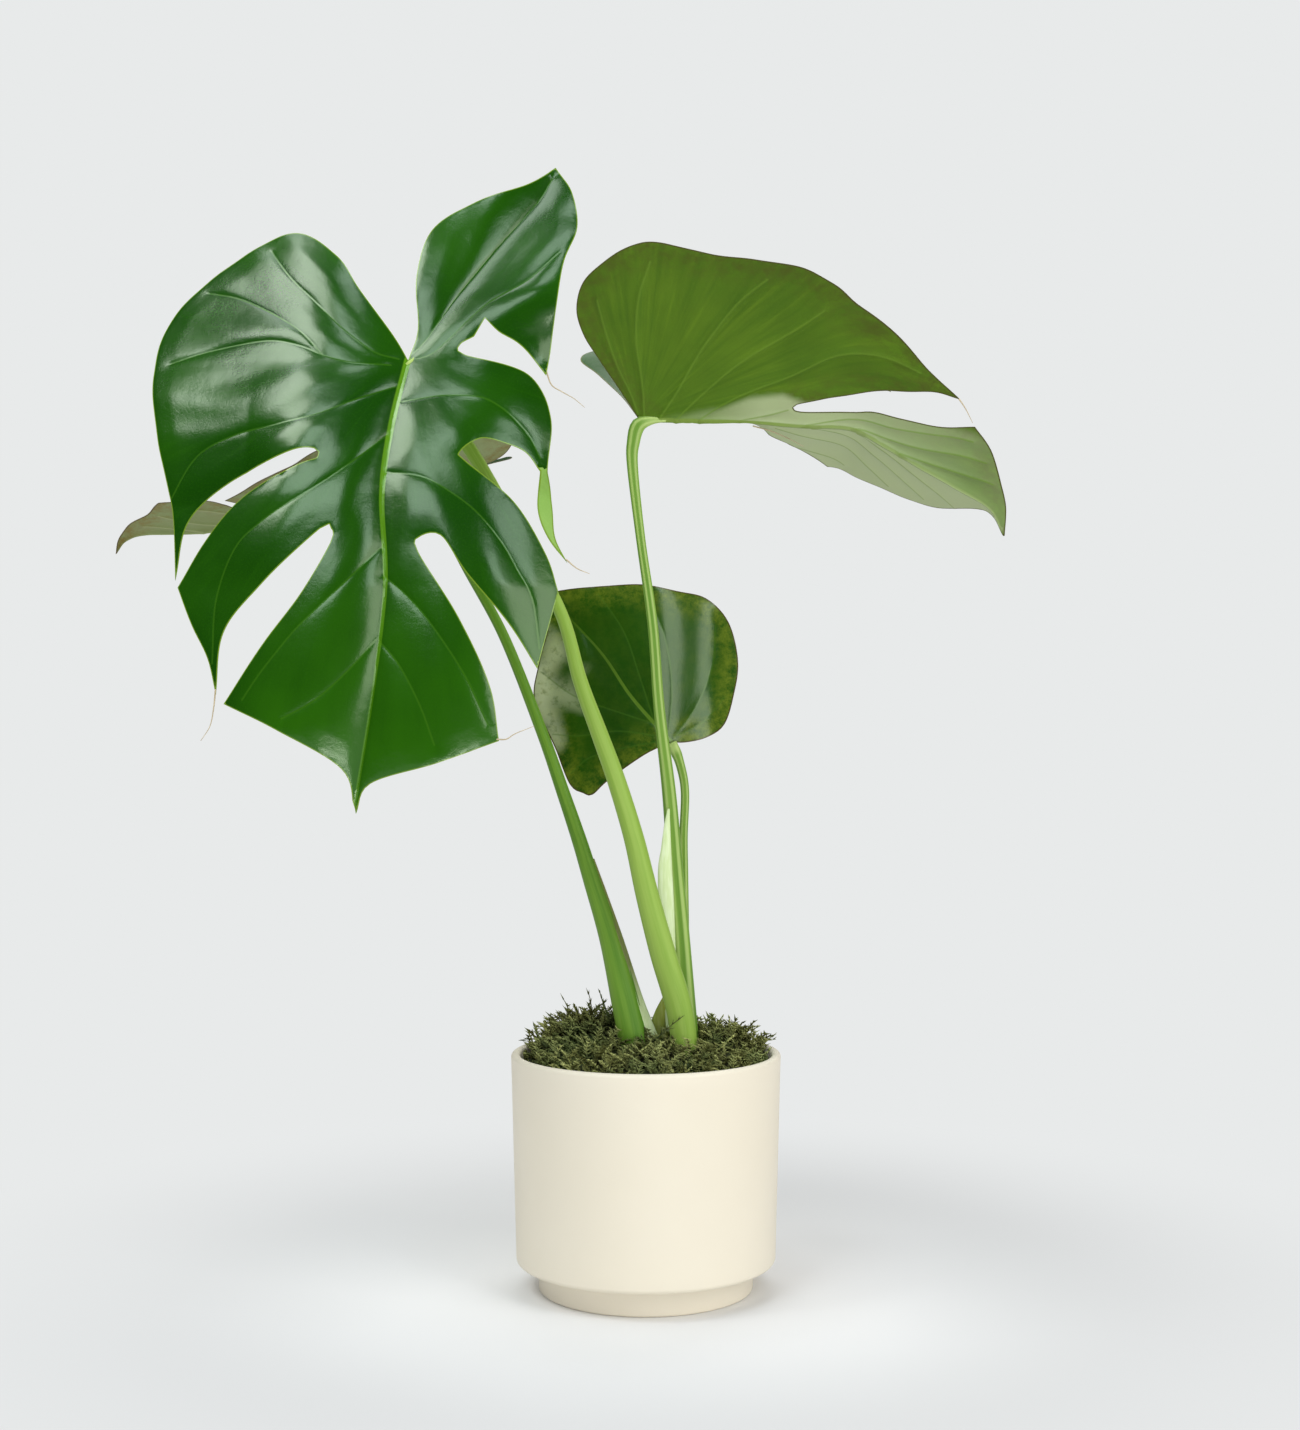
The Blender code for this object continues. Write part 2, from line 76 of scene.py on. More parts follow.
# The front leaf is drawn as it is seen from the front: (x, z). Each run ends in a corner.
FRONT_JOINT = (-136, 541)
FRONT_MIDRIB = [(-157, 285), (-147, 351), (-142, 408), (-146, 460), (-143, 500), (-136, 541)]
FRONT_EDGE = [
    [(-145, 556), (-166, 585), (-181, 607), (-209, 624), (-245, 609), (-283, 577), (-291, 540),
     (-283, 497), (-271, 457), (-266, 414)],
    [(-260, 447), (-237, 468), (-200, 484), (-184, 486), (-182, 481), (-192, 477), (-224, 459),
     (-246, 434), (-261, 409)],
    [(-250, 387), (-240, 369), (-234, 349)],
    [(-231, 383), (-210, 409), (-178, 440), (-172, 440), (-172, 432), (-187, 404), (-207, 377),
     (-229, 344)],
    [(-198, 330), (-163, 309), (-156, 285)],
    [(-148, 301), (-112, 312), (-79, 324)],
    [(-84, 354), (-101, 391), (-124, 427), (-124, 435), (-112, 436), (-98, 416), (-75, 388),
     (-59, 363)],
    [(-48, 406)],
    [(-55, 427), (-73, 456), (-100, 479), (-103, 484), (-92, 492), (-79, 490), (-67, 485),
     (-59, 474)],
    [(-60, 452), (-54, 436), (-43, 422)],
    [(-50, 436), (-52, 452), (-55, 474)],
    [(-54, 507), (-67, 532), (-103, 543), (-106, 549), (-98, 554)],
    [(-92, 565)],
    [(-84, 557), (-71, 549), (-57, 532)],
    [(-51, 573), (-47, 601), (-40, 623), (-44, 648), (-54, 665)],
    [(-72, 652), (-102, 639), (-125, 622), (-133, 593), (-131, 560), FRONT_JOINT],
]
TOP_LOBE_VEIN = [FRONT_JOINT, (-125, 554), (-107, 583), (-86, 612), (-64, 642), (-56, 658)]
FRONT_VEINS = [
    [(-145, 537), (-167, 538), (-184, 543), (-197, 549), (-218, 554), (-253, 551), (-281, 545)],
    [(-184, 543), (-198, 558), (-218, 572), (-241, 584), (-262, 590)],
    [(-141, 541), (-155, 545), (-173, 559), (-191, 577), (-208, 594), (-222, 613)],
    [(-142, 524), (-161, 516), (-185, 506), (-211, 501), (-232, 497), (-256, 486), (-271, 462)],
    [(-145, 495), (-163, 478), (-182, 464), (-198, 454), (-212, 444), (-226, 430), (-236, 402),
     (-237, 366)],
    [(-145, 430), (-163, 410), (-179, 394), (-190, 383), (-207, 362), (-218, 346)],
    [(-135, 543), *TOP_LOBE_VEIN[1:]],
    [(-131, 541), (-122, 544), (-113, 552), (-91, 574), (-68, 588), (-50, 606)],
    [(-138, 515), (-115, 518), (-95, 517), (-85, 513), (-75, 505), (-65, 494), (-59, 482)],
    [(-145, 473), (-125, 470), (-109, 462), (-93, 450), (-79, 433), (-70, 417), (-62, 401),
     (-58, 374)],
    [(-143, 414), (-129, 402), (-115, 386), (-97, 359), (-85, 333)],
    [(-145, 379), (-133, 365), (-121, 343), (-113, 322)],
    [(-146, 379), (-160, 362), (-177, 346), (-195, 336)],
]
FRONT_JOINT_Y = -40
FRONT_REACH = 70
FRONT_LEAN = 0.5
CHANNEL_DEPTH = 8.5  # along the midrib; deepest at these distances from it
CHANNEL_REACH_RIGHT = 62
CHANNEL_REACH_LEFT = 44
CURL_START = 52  # the margins curl back from here outwards
CURL_SLOPE = 0.42
CURL_SOFTNESS = 9
FOLD_DEPTH = 13  # the top lobe folds along its own vein
FOLD_WIDTH = 28
FOLD_FOOT = 538
LOW_BEND = 12  # how far the low end of the upper left lobe bends back
TONGUE_AXIS = [(-43, 422), (-52, 436), (-56, 452), (-57, 474)]
TONGUE_REACH = 5.5  # takes in the tongue's own width but not the lobe beside it
LEFT_SLIT = [(-262, 400), (-260, 430), (-250, 442), (-237, 456), (-215, 471)]  # below the lobe

SMALL_JOINT = (16, 321)
SMALL_EDGE = [
    [(25, 321), (38, 324), (49, 332), (55, 350), (58, 372), (52, 397), (38, 412), (19, 416),
     (-3, 420), (-25, 419), (-51, 417), (-63, 415)],
    [(-62, 393), (-67, 373), (-71, 352), (-66, 337), (-56, 316), (-47, 295), (-39, 290),
     (-33, 289), (-23, 298), (0, 314), SMALL_JOINT],
]
SMALL_MIDRIB = [SMALL_JOINT, (-9, 349), (-29, 378), (-62, 413)]
SMALL_VEINS = [
    [(18, 325), (32, 345), (42, 370), (44, 395)],
    [(17, 324), (36, 334), (50, 350)],
    [(14, 325), (16, 355), (12, 385), (2, 412)],
    [(5, 334), (-4, 362), (-14, 390), (-30, 414)],
    [(4, 333), (-18, 340), (-45, 350), (-66, 365)],
    [(10, 322), (-12, 318), (-34, 312), (-46, 302)],
    [(8, 325), (-18, 328), (-42, 325), (-58, 326)],
]
SMALL_JOINT_Y = 52
SMALL_LEAN = 0.2
SMALL_DROOP = 0.0015
SMALL_AXIS_X = -5
SMALL_RIGHT_TURN = 17  # how far its right side turns back
SMALL_LEFT_CURL_X = -42

# The right and left leaves are drawn flat: (along the midrib, away from it).
RIGHT_MIDRIB = [(-4, 15, 515), (56, 12, 513), (91, 8, 510), (121, 2, 508), (140, -2, 498),
                (161, -5, 485), (181, -8, 473), (202, -10, 459), (210, -10, 443)]
RIGHT_NEAR_TILT = 50
RIGHT_FAR_TILT = 30
RIGHT_END_TILT = -14
RIGHT_EDGE = [
    [(-13, 22), (-25, 42), (-34, 58), (-38, 74), (-34, 91), (-22, 104), (-6, 114), (10, 116),
     (42, 109), (62, 107), (86, 104), (108, 94), (120, 80), (143, 60), (172, 52)],
    [(156, 47), (138, 34), (123, 23), (109, 19), (93, 15), (92, 11), (102, 10), (124, 11),
     (137, 17), (169, 29), (188, 41)],
    [(203, 33), (218, 16), (228, 8), (241, 0)],
    [(225, -4), (217, -11), (198, -40), (181, -51), (164, -56), (146, -62), (121, -63)],
    [(100, -38), (83, -20), (68, -4), (65, -8), (80, -29), (100, -52), (120, -74), (140, -90)],
    [(110, -106), (80, -113), (40, -118), (0, -122), (-30, -118), (-40, -102), (-28, -76),
     (-12, -38), (0, 0)],
]
RIGHT_VEINS = [
    [(3, 1), (2, 18), (0, 34), (-3, 56), (-2, 82), (4, 104)],
    [(-1, 4), (-5, 17), (-14, 38), (-21, 60), (-26, 80)],
    [(12, 1), (22, 20), (30, 38), (38, 54), (54, 80), (68, 96)],
    [(22, 1), (38, 20), (57, 41), (82, 62), (104, 78)],
    [(36, 1), (49, 12), (64, 22), (84, 33), (115, 50), (145, 54)],
    [(60, 1), (76, 6), (88, 11)],
    [(100, 1), (124, 6), (150, 14), (180, 28), (192, 32)],
    [(130, 1), (160, 8), (190, 20), (205, 24)],
    [(160, 1), (190, 8), (214, 14)],
    [(82, -5), (108, -17), (138, -32), (166, -48)],
    [(104, -1), (134, -12), (164, -25), (188, -39)],
    [(132, -1), (162, -9), (190, -19), (206, -27)],
    [(92, -30), (112, -43), (134, -54)],
    [(3, -1), (-2, -30), (-6, -62), (-10, -100)],
    [(14, -1), (24, -34), (40, -70), (58, -102)],
    [(34, -1), (52, -20), (76, -50), (98, -80), (116, -94)],
]
LEFT_MIDRIB = [(-140, 80, 485), (-175, 82, 476), (-219, 84, 464), (-276, 84, 455),
               (-314, 80, 453), (-328, 77, 448), (-334, 75, 439)]
LEFT_NEAR_TILT = 18
LEFT_FAR_TILT = 10
LEFT_EDGE = [
    [(-20, 4), (-42, 3), (-56, 12), (-62, 32), (-52, 58), (-25, 78), (15, 86), (50, 80),
     (72, 70), (93, 60), (109, 49), (121, 40)],
    [(112, 31), (95, 23), (80, 19), (80, 13), (98, 19), (116, 26), (122, 33)],
    [(133, 44), (158, 46), (164, 42), (172, 28), (183, 19), (191, 10), (204, 0)],
    [(190, -8), (178, -24), (160, -38), (138, -42)],
    [(118, -28), (96, -18), (78, -13), (78, -19), (96, -28), (112, -42), (126, -58)],
    [(104, -70), (72, -80), (35, -88), (-10, -86), (-42, -70), (-56, -44), (-50, -18),
     (-26, -5), (0, 0)],
]
LEFT_VEINS = [
    [(a, side * b) for a, b in vein]
    for side in (1, -1)
    for vein in (
        [(2, 1), (-14, 24), (-34, 44), (-44, 52)],
        [(6, 1), (6, 34), (4, 58), (6, 78)],
        [(20, 1), (34, 28), (50, 52), (62, 66)],
        [(48, 1), (68, 20), (88, 36), (104, 44)],
        [(90, 1), (114, 14), (134, 28), (146, 34)],
        [(118, 1), (140, 10), (160, 22), (166, 26)],
        [(144, 1), (164, 8), (178, 12)],
    )
]

# Stalks: (x, y, z, radius) from the crown to the blade.
FRONT_STALK = [(24, -10, 131.5, 7.4), (20, -11, 165, 7.9), (10, -13, 199, 7.6),
               (1, -16, 233, 6.8), (-7, -19, 267, 5.9), (-17, -21, 300, 5.4),
               (-26, -23, 325, 5.0), (-38, -25, 358, 4.3), (-49, -27, 397, 3.7),
               (-73, -27, 442, 3.7), (-98, -28, 486, 4.0), (-120, -30, 518, 4.3),
               (-136, -38.5, 541, 4.4)]
LEFT_STALK = [(-4, -2, 131.5, 8.8), (-11, 0, 165, 8.6), (-21, 6, 205, 6.6), (-32.5, 12, 240, 5.1),
              (-40, 18, 263, 4.5), (-50, 27, 291, 4.0), (-64, 38, 329, 3.5), (-88, 54, 387, 3.2),
              (-112, 66, 430, 3.0), (-130, 75, 464, 3.2), (-139, 80, 484.6, 3.4)]
RIGHT_STALK = [(26, 12, 131.5, 6.8), (24, 13, 162, 6.2), (21, 14, 207, 5.2), (18, 17, 241, 4.9),
               (14, 19, 291, 4.2), (8, 20, 342, 3.4), (4, 20, 393, 3.1), (-3, 19, 443, 2.8),
               (-8, 17, 487, 3.3), (-7.4, 15.8, 502, 3.9), (-4.4, 15, 511.6, 3.9),
               (3, 14.6, 514.4, 2.4), (12, 14, 514.6, 1.2)]
SMALL_STALK = [(22, 27, 131.5, 4.4), (23, 29, 190, 3.4), (23, 35, 240, 2.8), (23, 41, 264, 2.6),
               (24, 49, 291, 2.6), (21, 55, 308, 2.8), (16, 53.2, 321, 3.0)]

# Sheaths: rows of (z, free edge x, free edge y, stalk edge x, stalk edge y).
RIGHT_SHEATH = [(150, 12, 6, 19, 8.4), (198, 9, 7, 17.6, 9.2), (222, 7.4, 8, 16.8, 9.8),
                (246, 7.2, 9, 15.5, 11.2), (258, 9, 10, 14.9, 12), (273, 11, 11.5, 14.3, 12.4),
                (282, 13, 12.2, 14, 12.6)]
LEFT_SHEATH = [(148, 7.4, -2, 1.2, -5), (165, 0.4, -1, -4, -5), (180, -5, 0.5, -8, -2.5),
               (204, -13, 3.5, -15.6, 0.6), (228, -21.8, 8.5, -24.2, 6.4), (252, -31, 14, -33, 12)]
STUB_SHEATH = [(140, 0, 8, 13, 9), (152, 2, 7, 13, 9), (163, 6, 6, 13.5, 8), (173, 11.5, 5, 13, 7)]
SHEATH_THICKNESS = 0.9


# ---------------------------------------------------------------- shapes

def smooth_run(points, step):
    """Points at about one step apart on a smooth curve through the given points."""
    knots = [np.array(p, float) for p in points]
    ends = [2 * knots[0] - knots[1]] + knots + [2 * knots[-1] - knots[-2]]
    run = []
    for before, start, end, after in zip(ends, ends[1:], ends[2:], ends[3:]):
        pieces = max(1, math.ceil(np.linalg.norm(end - start) / step))
        for i in range(pieces):
            t = i / pieces
            bend = (2 * before - 5 * start + 4 * end - after) * t * t
            twist = (3 * start - before - 3 * end + after) * t**3
            run.append(start + 0.5 * ((end - before) * t + bend + twist))
    run.append(knots[-1])
    return run


def segment_distance(spots, starts, ends):
    """Distance from each 2-D spot to the nearest of many segments."""
    nearest = np.full(len(spots), 1e9)
    for first, last in zip(starts, ends):
        way = last - first
        along = ((spots - first) @ way) / max(way @ way, 1e-12)
        foot = first + np.clip(along, 0, 1)[:, None] * way
        nearest = np.minimum(nearest, ((spots - foot) ** 2).sum(1))
    return np.sqrt(nearest)


def inside_ring(spots, ring):
    """Which 2-D spots are inside a closed outline."""
    odd = np.zeros(len(spots), bool)
    for start, end in zip(ring, np.roll(ring, -1, axis=0)):
        if start[1] == end[1]:
            continue
        crosses = (start[1] > spots[:, 1]) != (end[1] > spots[:, 1])
        x = start[0] + (spots[:, 1] - start[1]) * (end[0] - start[0]) / (end[1] - start[1])
        odd ^= crosses & (x > spots[:, 0])
    return odd


def polyline_ends(lines):
    """Start and end points of every segment of some polylines."""
    starts = np.concatenate([np.array(line[:-1]) for line in lines])
    ends = np.concatenate([np.array(line[1:]) for line in lines])
    return starts, ends


def face_sides(faces):
    """The three sides of every triangle, as pairs of corners."""
    return np.concatenate([faces[:, [0, 1]], faces[:, [1, 2]], faces[:, [2, 0]]])


def split_faces(spots, faces):
    """Divide every triangle into four."""
    corners = np.array(faces)
    sides = face_sides(corners)
    keys, index = np.unique(np.sort(sides, axis=1), axis=0, return_inverse=True)
    middles = len(spots) + index.reshape(3, -1).T
    spots = np.concatenate([spots, spots[keys].mean(1)])
    a, b, c = corners.T
    ab, bc, ca = middles.T
    parts = [(a, ab, ca), (ab, b, bc), (ca, bc, c), (ab, bc, ca)]
    return spots, np.concatenate([np.stack(part, 1) for part in parts])


def flat_blade(edge, joint, midrib, veins):
    """A leaf's flat mesh, with edges along its veins, and each point's distances in mm."""
    outline = []
    corner = joint
    for run in edge:
        outline += smooth_run([corner] + run, EDGE_STEP)[:-1]
        corner = run[-1]
    ring = np.array(outline)
    rib_lines = [np.array(smooth_run(midrib, 4))]
    vein_lines = [np.array(smooth_run(vein, 4)) for vein in veins]
    ring_ends = ring, np.roll(ring, -1, axis=0)
    rib_ends, vein_ends = polyline_ends(rib_lines), polyline_ends(vein_lines)

    low, high = ring.min(0), ring.max(0)
    row_height = GRID_STEP * math.sqrt(0.75)
    rows = np.arange(low[1], high[1], row_height)
    grid = np.array([(x + GRID_STEP / 2 * (i % 2), y) for i, y in enumerate(rows)
                     for x in np.arange(low[0], high[0], GRID_STEP)])
    grid = grid[inside_ring(grid, ring)]
    clear = segment_distance(grid, *ring_ends) > 0.45 * GRID_STEP
    clear &= segment_distance(grid, *rib_ends) > RIB_ROW + 1.4
    clear &= segment_distance(grid, *vein_ends) > VEIN_ROW + 1.4
    points, edges = list(ring) + list(grid[clear]), []
    for line, offset in [(line, RIB_ROW) for line in rib_lines] + [
            (line, VEIN_ROW) for line in vein_lines]:
        ahead = np.gradient(line, axis=0)
        across = np.column_stack([-ahead[:, 1], ahead[:, 0]])
        across /= np.linalg.norm(across, axis=1)[:, None]
        for side in (-offset, offset):
            row = line + side * across
            row = row[inside_ring(row, ring)]
            row = row[segment_distance(row, *ring_ends) > 1.2]
            nearest = np.minimum(segment_distance(row, *rib_ends),
                                 segment_distance(row, *vein_ends))
            points += list(row[nearest > 0.9 * offset])
        kept = line[inside_ring(line, ring)]
        kept = kept[segment_distance(kept, *ring_ends) > 0.5]
        first = len(points)
        points += list(kept)
        edges += [(first + i, first + i + 1) for i in range(len(kept) - 1)]
    flat, _, faces, *_ = delaunay_2d_cdt([Vector(p) for p in points], edges,
                                         [list(range(len(ring)))], 1, 1e-3)
    spots, faces = split_faces(np.array([tuple(p) for p in flat]), faces)
    distances = {"rib_mm": segment_distance(spots, *rib_ends),
                 "vein_mm": segment_distance(spots, *vein_ends),
                 "edge_mm": segment_distance(spots, *ring_ends)}
    return spots, faces, distances


def vertex_normals(places, faces):
    a, b, c = (places[faces[:, k]] for k in range(3))
    cross = np.cross(b - a, c - a)
    normals = np.zeros_like(places)
    for k in range(3):
        np.add.at(normals, faces[:, k], cross)
    return normals / np.maximum(np.linalg.norm(normals, axis=1), 1e-12)[:, None]


def add_mesh(name, vertices, faces, materials, node=None, indices=None):
    """Make a piece from millimetre vertices; it rides on the root body."""
    mesh = bpy.data.meshes.new(name)
    mesh.from_pydata((np.asarray(vertices) * MM).tolist(), [], [list(f) for f in faces])
    for material in materials:
        mesh.materials.append(material)
    if indices is not None:
        mesh.polygons.foreach_set("material_index", np.asarray(indices, np.int32))
    mesh.shade_smooth()
    piece = bpy.data.objects.new(name, mesh)
    bpy.context.collection.objects.link(piece)
    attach(piece, "root")
    if node:
        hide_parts(node)
    return piece


def add_numbers(piece, name, values):
    """Store a number, or a vector, at each of a piece's vertices."""
    values = np.asarray(values, np.float32)
    if values.ndim == 2:
        made = piece.data.attributes.new(name, "FLOAT_VECTOR", "POINT")
        made.data.foreach_set("vector", values.ravel())
    else:
        made = piece.data.attributes.new(name, "FLOAT", "POINT")
        made.data.foreach_set("value", values)


def add_leaf(name, edge, joint, midrib, veins, place, upper, under, upper_way, relief=1.0,
             rib_half=(2.6, 0.8), extra=None, turned_over=None):
    """Build a leaf with both faces and a rim, its veins pressed into the upper side."""
    spots, faces, distances = flat_blade(edge, joint, midrib, veins)
    places = place(spots)
    normals = vertex_normals(places, faces)
    if (normals.sum(0) @ np.array(upper_way)) < 0:
        faces = faces[:, ::-1]
        normals = -normals
    pillow = 1 - np.exp(-np.minimum(distances["vein_mm"], distances["rib_mm"]) / 9)
    pillow *= np.clip(distances["edge_mm"] / 12, 0, 1)
    groove = np.exp(-(distances["rib_mm"] / 1.6) ** 2) + 0.6 * np.exp(
        -(distances["vein_mm"] / 1.1) ** 2)
    wave = np.sin(spots[:, 0] / 17 + np.sin(spots[:, 1] / 23)) * np.sin(spots[:, 1] / 19)
    away = spots - np.array(joint)
    out = np.linalg.norm(away, axis=1)
    bearing = np.arctan2(away[:, 1], away[:, 0])
    ripple = np.sin(13 * bearing + 1.6 * np.sin(out / 34)) * np.clip((out - 20) / 60, 0, 1)
    ripple += 0.35 * np.sin(31 * bearing + 2.0 * np.sin(out / 21)) * np.clip((out - 40) / 70, 0, 1)
    rise = relief * (pillow + WAVE_HEIGHT * wave + RIPPLE_HEIGHT * ripple - GROOVE_DEPTH * groove)
    places = places + normals * rise[:, None]
    normals = vertex_normals(places, faces)
    thickness = BLADE_THICKNESS * (0.35 + 0.65 * np.clip(distances["edge_mm"] / 1.5, 0, 1))
    keel = RIB_KEEL * np.exp(-(distances["rib_mm"] / 2.0) ** 2) + VEIN_KEEL * np.exp(
        -(distances["vein_mm"] / 1.4) ** 2)
    keel *= np.clip(distances["edge_mm"] / 20, 0.15, 1)
    top = places + normals * thickness[:, None] / 2
    bottom = places - normals * (thickness / 2 + keel)[:, None]
    count = len(places)
    sides = face_sides(faces)
    keys, index, uses = np.unique(np.sort(sides, axis=1), axis=0, return_inverse=True,
                                  return_counts=True)
    rim = sides[uses[index.ravel()] == 1]
    quads = np.stack([rim[:, 1], rim[:, 0], rim[:, 0] + count, rim[:, 1] + count], 1)
    all_faces = faces.tolist() + (faces[:, ::-1] + count).tolist() + quads.tolist()
    front_index = np.zeros(len(faces), int)
    if turned_over:
        front_index[turned_over(*spots[faces].mean(1).T)] = 1
    indices = np.concatenate([front_index, 1 - front_index, np.ones(len(quads), int)])
    leaf = add_mesh(name, np.concatenate([top, bottom]), all_faces, [upper, under], name,
                    indices)
    leaf.data.set_sharp_from_angle(angle=math.radians(CREASE_ANGLE))
    halves = np.interp(out / out.max(), [0, 1], rib_half)
    distances["rib_share"] = distances["rib_mm"] / halves
    distances["rib_strength"] = np.interp(out / out.max(), [0, 0.3, 0.8], [1, 0.9, 0.45])
    # A plain tone for most leaves; on the front leaf the extra replaces it with painted light.
    distances["brightness"] = np.full(len(spots), 0.3)
    tip = np.array(midrib[-1] if tuple(midrib[0]) == tuple(joint) else midrib[0]) - joint
    turn = bearing - math.atan2(tip[1], tip[0])
    turn = np.arctan2(np.sin(turn), np.cos(turn))
    if extra:
        distances.update(extra(spots))
    for key, values in distances.items():
        add_numbers(leaf, key, np.concatenate([values, values]))
    flat = np.column_stack([spots, np.zeros(count)]) * MM
    add_numbers(leaf, "flat", np.concatenate([flat, flat]))
    fan = np.column_stack([turn * 24, out / 60, np.zeros(count)])
    add_numbers(leaf, "fan", np.concatenate([fan, fan]))
    return leaf


def tube(path, step, sides, profile=None, swell=None):
    """A closed tapering tube; profile scales the radius round it and swell along it."""
    spots = np.array(smooth_run(path, step))
    ways = np.gradient(spots[:, :3], axis=0)
    strides = np.linalg.norm(np.diff(spots[:, :3], axis=0), axis=1)
    lengths = np.concatenate([[0], np.cumsum(strides)])
    vertices, rounds, alongs = [], [], []
    for i, (spot, way) in enumerate(zip(spots, ways)):
        way = Vector(way).normalized()
        side = way.cross(Vector((0, 1, 0))).normalized()
        front = side.cross(way)
        along = lengths[i] / lengths[-1]
        for k in range(sides):
            turn = 2 * math.pi * k / sides
            radius = spot[3] * (profile(turn, along) if profile else 1)
            radius *= swell(along) if swell else 1
            spoke = side * math.cos(turn) + front * math.sin(turn)
            vertices.append(Vector(spot[:3]) + spoke * radius)
            rounds.append((math.cos(turn), math.sin(turn), lengths[i] * MM))
            alongs.append(along)
    return vertices, tube_faces(len(spots), sides), rounds, alongs


def tube_faces(rings, sides):
    """Faces of a closed tube of rings, with a flat cap at each end."""
    faces = [list(range(sides))[::-1], list(range((rings - 1) * sides, rings * sides))]
    for ring in range(rings - 1):
        for k in range(sides):
            a, b = ring * sides + k, ring * sides + (k + 1) % sides
            faces.append([a, b, b + sides, a + sides])
    return faces


# ---------------------------------------------------------------- placing the blades

def along_rib(points, values):
    heights = [p[1] for p in points]
    return np.interp(values, heights, [p[0] for p in points])


def smoothstep(share):
    return share * share * (3 - 2 * share)


def soft_bend(distance, slope, softness):
    """Nothing where distance is negative, then a steady slope, with a soft start between."""
    return slope * softness * np.log1p(np.exp(distance / softness))


def front_depth(x, z):
    """Depth of the front leaf: hanging forward, channelled at the midrib, curled back outside."""
    drop = (FRONT_JOINT[1] - z) / (FRONT_JOINT[1] - FRONT_MIDRIB[0][1])
    hang = FRONT_JOINT_Y - FRONT_REACH * (2 * drop - drop * drop)
    lean = FRONT_JOINT_Y + FRONT_LEAN * (z - FRONT_JOINT[1])
    off_rib = np.abs(x - along_rib(FRONT_MIDRIB, z))
    reach = np.where(x > along_rib(FRONT_MIDRIB, z), CHANNEL_REACH_RIGHT, CHANNEL_REACH_LEFT)
    ridge = off_rib / reach
    channel = -CHANNEL_DEPTH * ridge * np.exp(1 - ridge)
    curl = soft_bend(off_rib - CURL_START, CURL_SLOPE, CURL_SOFTNESS)
    vein = np.array(TOP_LOBE_VEIN, float)
    off_vein = segment_distance(np.column_stack([x, z]), vein[:-1], vein[1:])
    in_lobe = smoothstep(np.clip((z - FOLD_FOOT) / 46, 0, 1)) * (x > FRONT_JOINT[0])
    fold = -FOLD_DEPTH * in_lobe * (1 - np.exp(-off_vein / FOLD_WIDTH))
    in_left_lobe = z > np.interp(x, *np.transpose(LEFT_SLIT))
    low_bend = np.clip((548 - z) / 90, 0, 1) * np.clip((-185 - x) / 40, 0, 1) * in_left_lobe
    curl = curl * (1 - in_lobe) + LOW_BEND * low_bend**2
    return np.where(drop > 0, hang, lean) + channel + curl + fold


def in_tongue(x, z):
    """Which points are in the narrow end of the second right lobe."""
    return (np.abs(x - along_rib(TONGUE_AXIS, z)) < TONGUE_REACH) & (z < 476) & (z > 418)


def place_front(spots):
    """The front leaf's blade, with the narrow tongue of its second right lobe turned over."""
    x, z = spots.T
    y = front_depth(x, z)
    axis_x = along_rib(TONGUE_AXIS, z)
    tongue = in_tongue(x, z)
    turn = np.where(tongue, np.clip((478 - z) / 20, 0, 1), 0)
    y = y + np.where(tongue, (x - axis_x) * 0.9 * np.sin(math.pi * turn), 0) - 3 * turn
    return np.column_stack([x, y, z])


def place_small(spots):
    """The small leaf's blade, which droops from its middle and turns back at both sides."""
    x, z = spots.T
    inner = np.minimum(x, 8)
    y = SMALL_JOINT_Y + SMALL_LEAN * (z - SMALL_JOINT[1])
    y = y + SMALL_DROOP * (inner - SMALL_AXIS_X) ** 2
    y = y + SMALL_RIGHT_TURN * smoothstep(np.clip((x - 4) / 40, 0, 1))
    y = y + soft_bend(SMALL_LEFT_CURL_X - x, 0.4, 4)
    return np.column_stack([x, y, z])


def tilted_blade(midrib, near_tilt, far_tilt, belly):
    """Place flat leaf points: each side rises from the midrib by its own tilt."""
    curve = np.array(smooth_run(midrib, 2))
    lengths = np.concatenate([[0], np.cumsum(np.linalg.norm(np.diff(curve, axis=0), axis=1))])
    start_way = curve[18] - curve[0]
    start_way = start_way / np.linalg.norm(start_way)

    def on_curve(distance):
        clipped = np.clip(distance, 0, lengths[-1])
        return np.column_stack([np.interp(clipped, lengths, curve[:, k]) for k in range(3)])

    def place(spots):
        along, away = spots.T
        way = on_curve(along + 14) - on_curve(along - 14)
        way = way / np.maximum(np.linalg.norm(way, axis=1), 1e-9)[:, None]
        way[along < 0] = start_way
        up = np.column_stack([-way[:, 2], np.zeros(len(way)), way[:, 0]])
        up *= np.sign(way[:, :1])
        up /= np.linalg.norm(up, axis=1)[:, None]
        near = away > 0
        tilt = np.radians(np.where(near, near_tilt, far_tilt(along, -away)))
        outward = np.where(near, -1.0, 1.0)[:, None] * np.array([[0, 1, 0]])
        uphill = np.cos(tilt)[:, None] * outward + np.sin(tilt)[:, None] * up
        rise = np.abs(away)[:, None] * uphill
        base = on_curve(along) + np.minimum(along, 0)[:, None] * start_way
        placed = base + rise
        placed[:, 1] += belly * np.sin(np.clip(np.abs(away) / 110, 0, 1) * math.pi)
        return placed

    return place


def right_far_tilt(along, away):
    """The far side rises towards the base and droops past the slit at the end lobe."""
    past_slit = (along - 62) * 0.742 - away * 0.671
    blend = np.clip(past_slit / np.maximum(2, 12 - 0.5 * away) + 0.5, 0, 1)
    return RIGHT_FAR_TILT + (RIGHT_END_TILT - RIGHT_FAR_TILT) * blend


def left_far_tilt(along, away):
    return np.full(len(along), LEFT_FAR_TILT)


# ---------------------------------------------------------------- materials

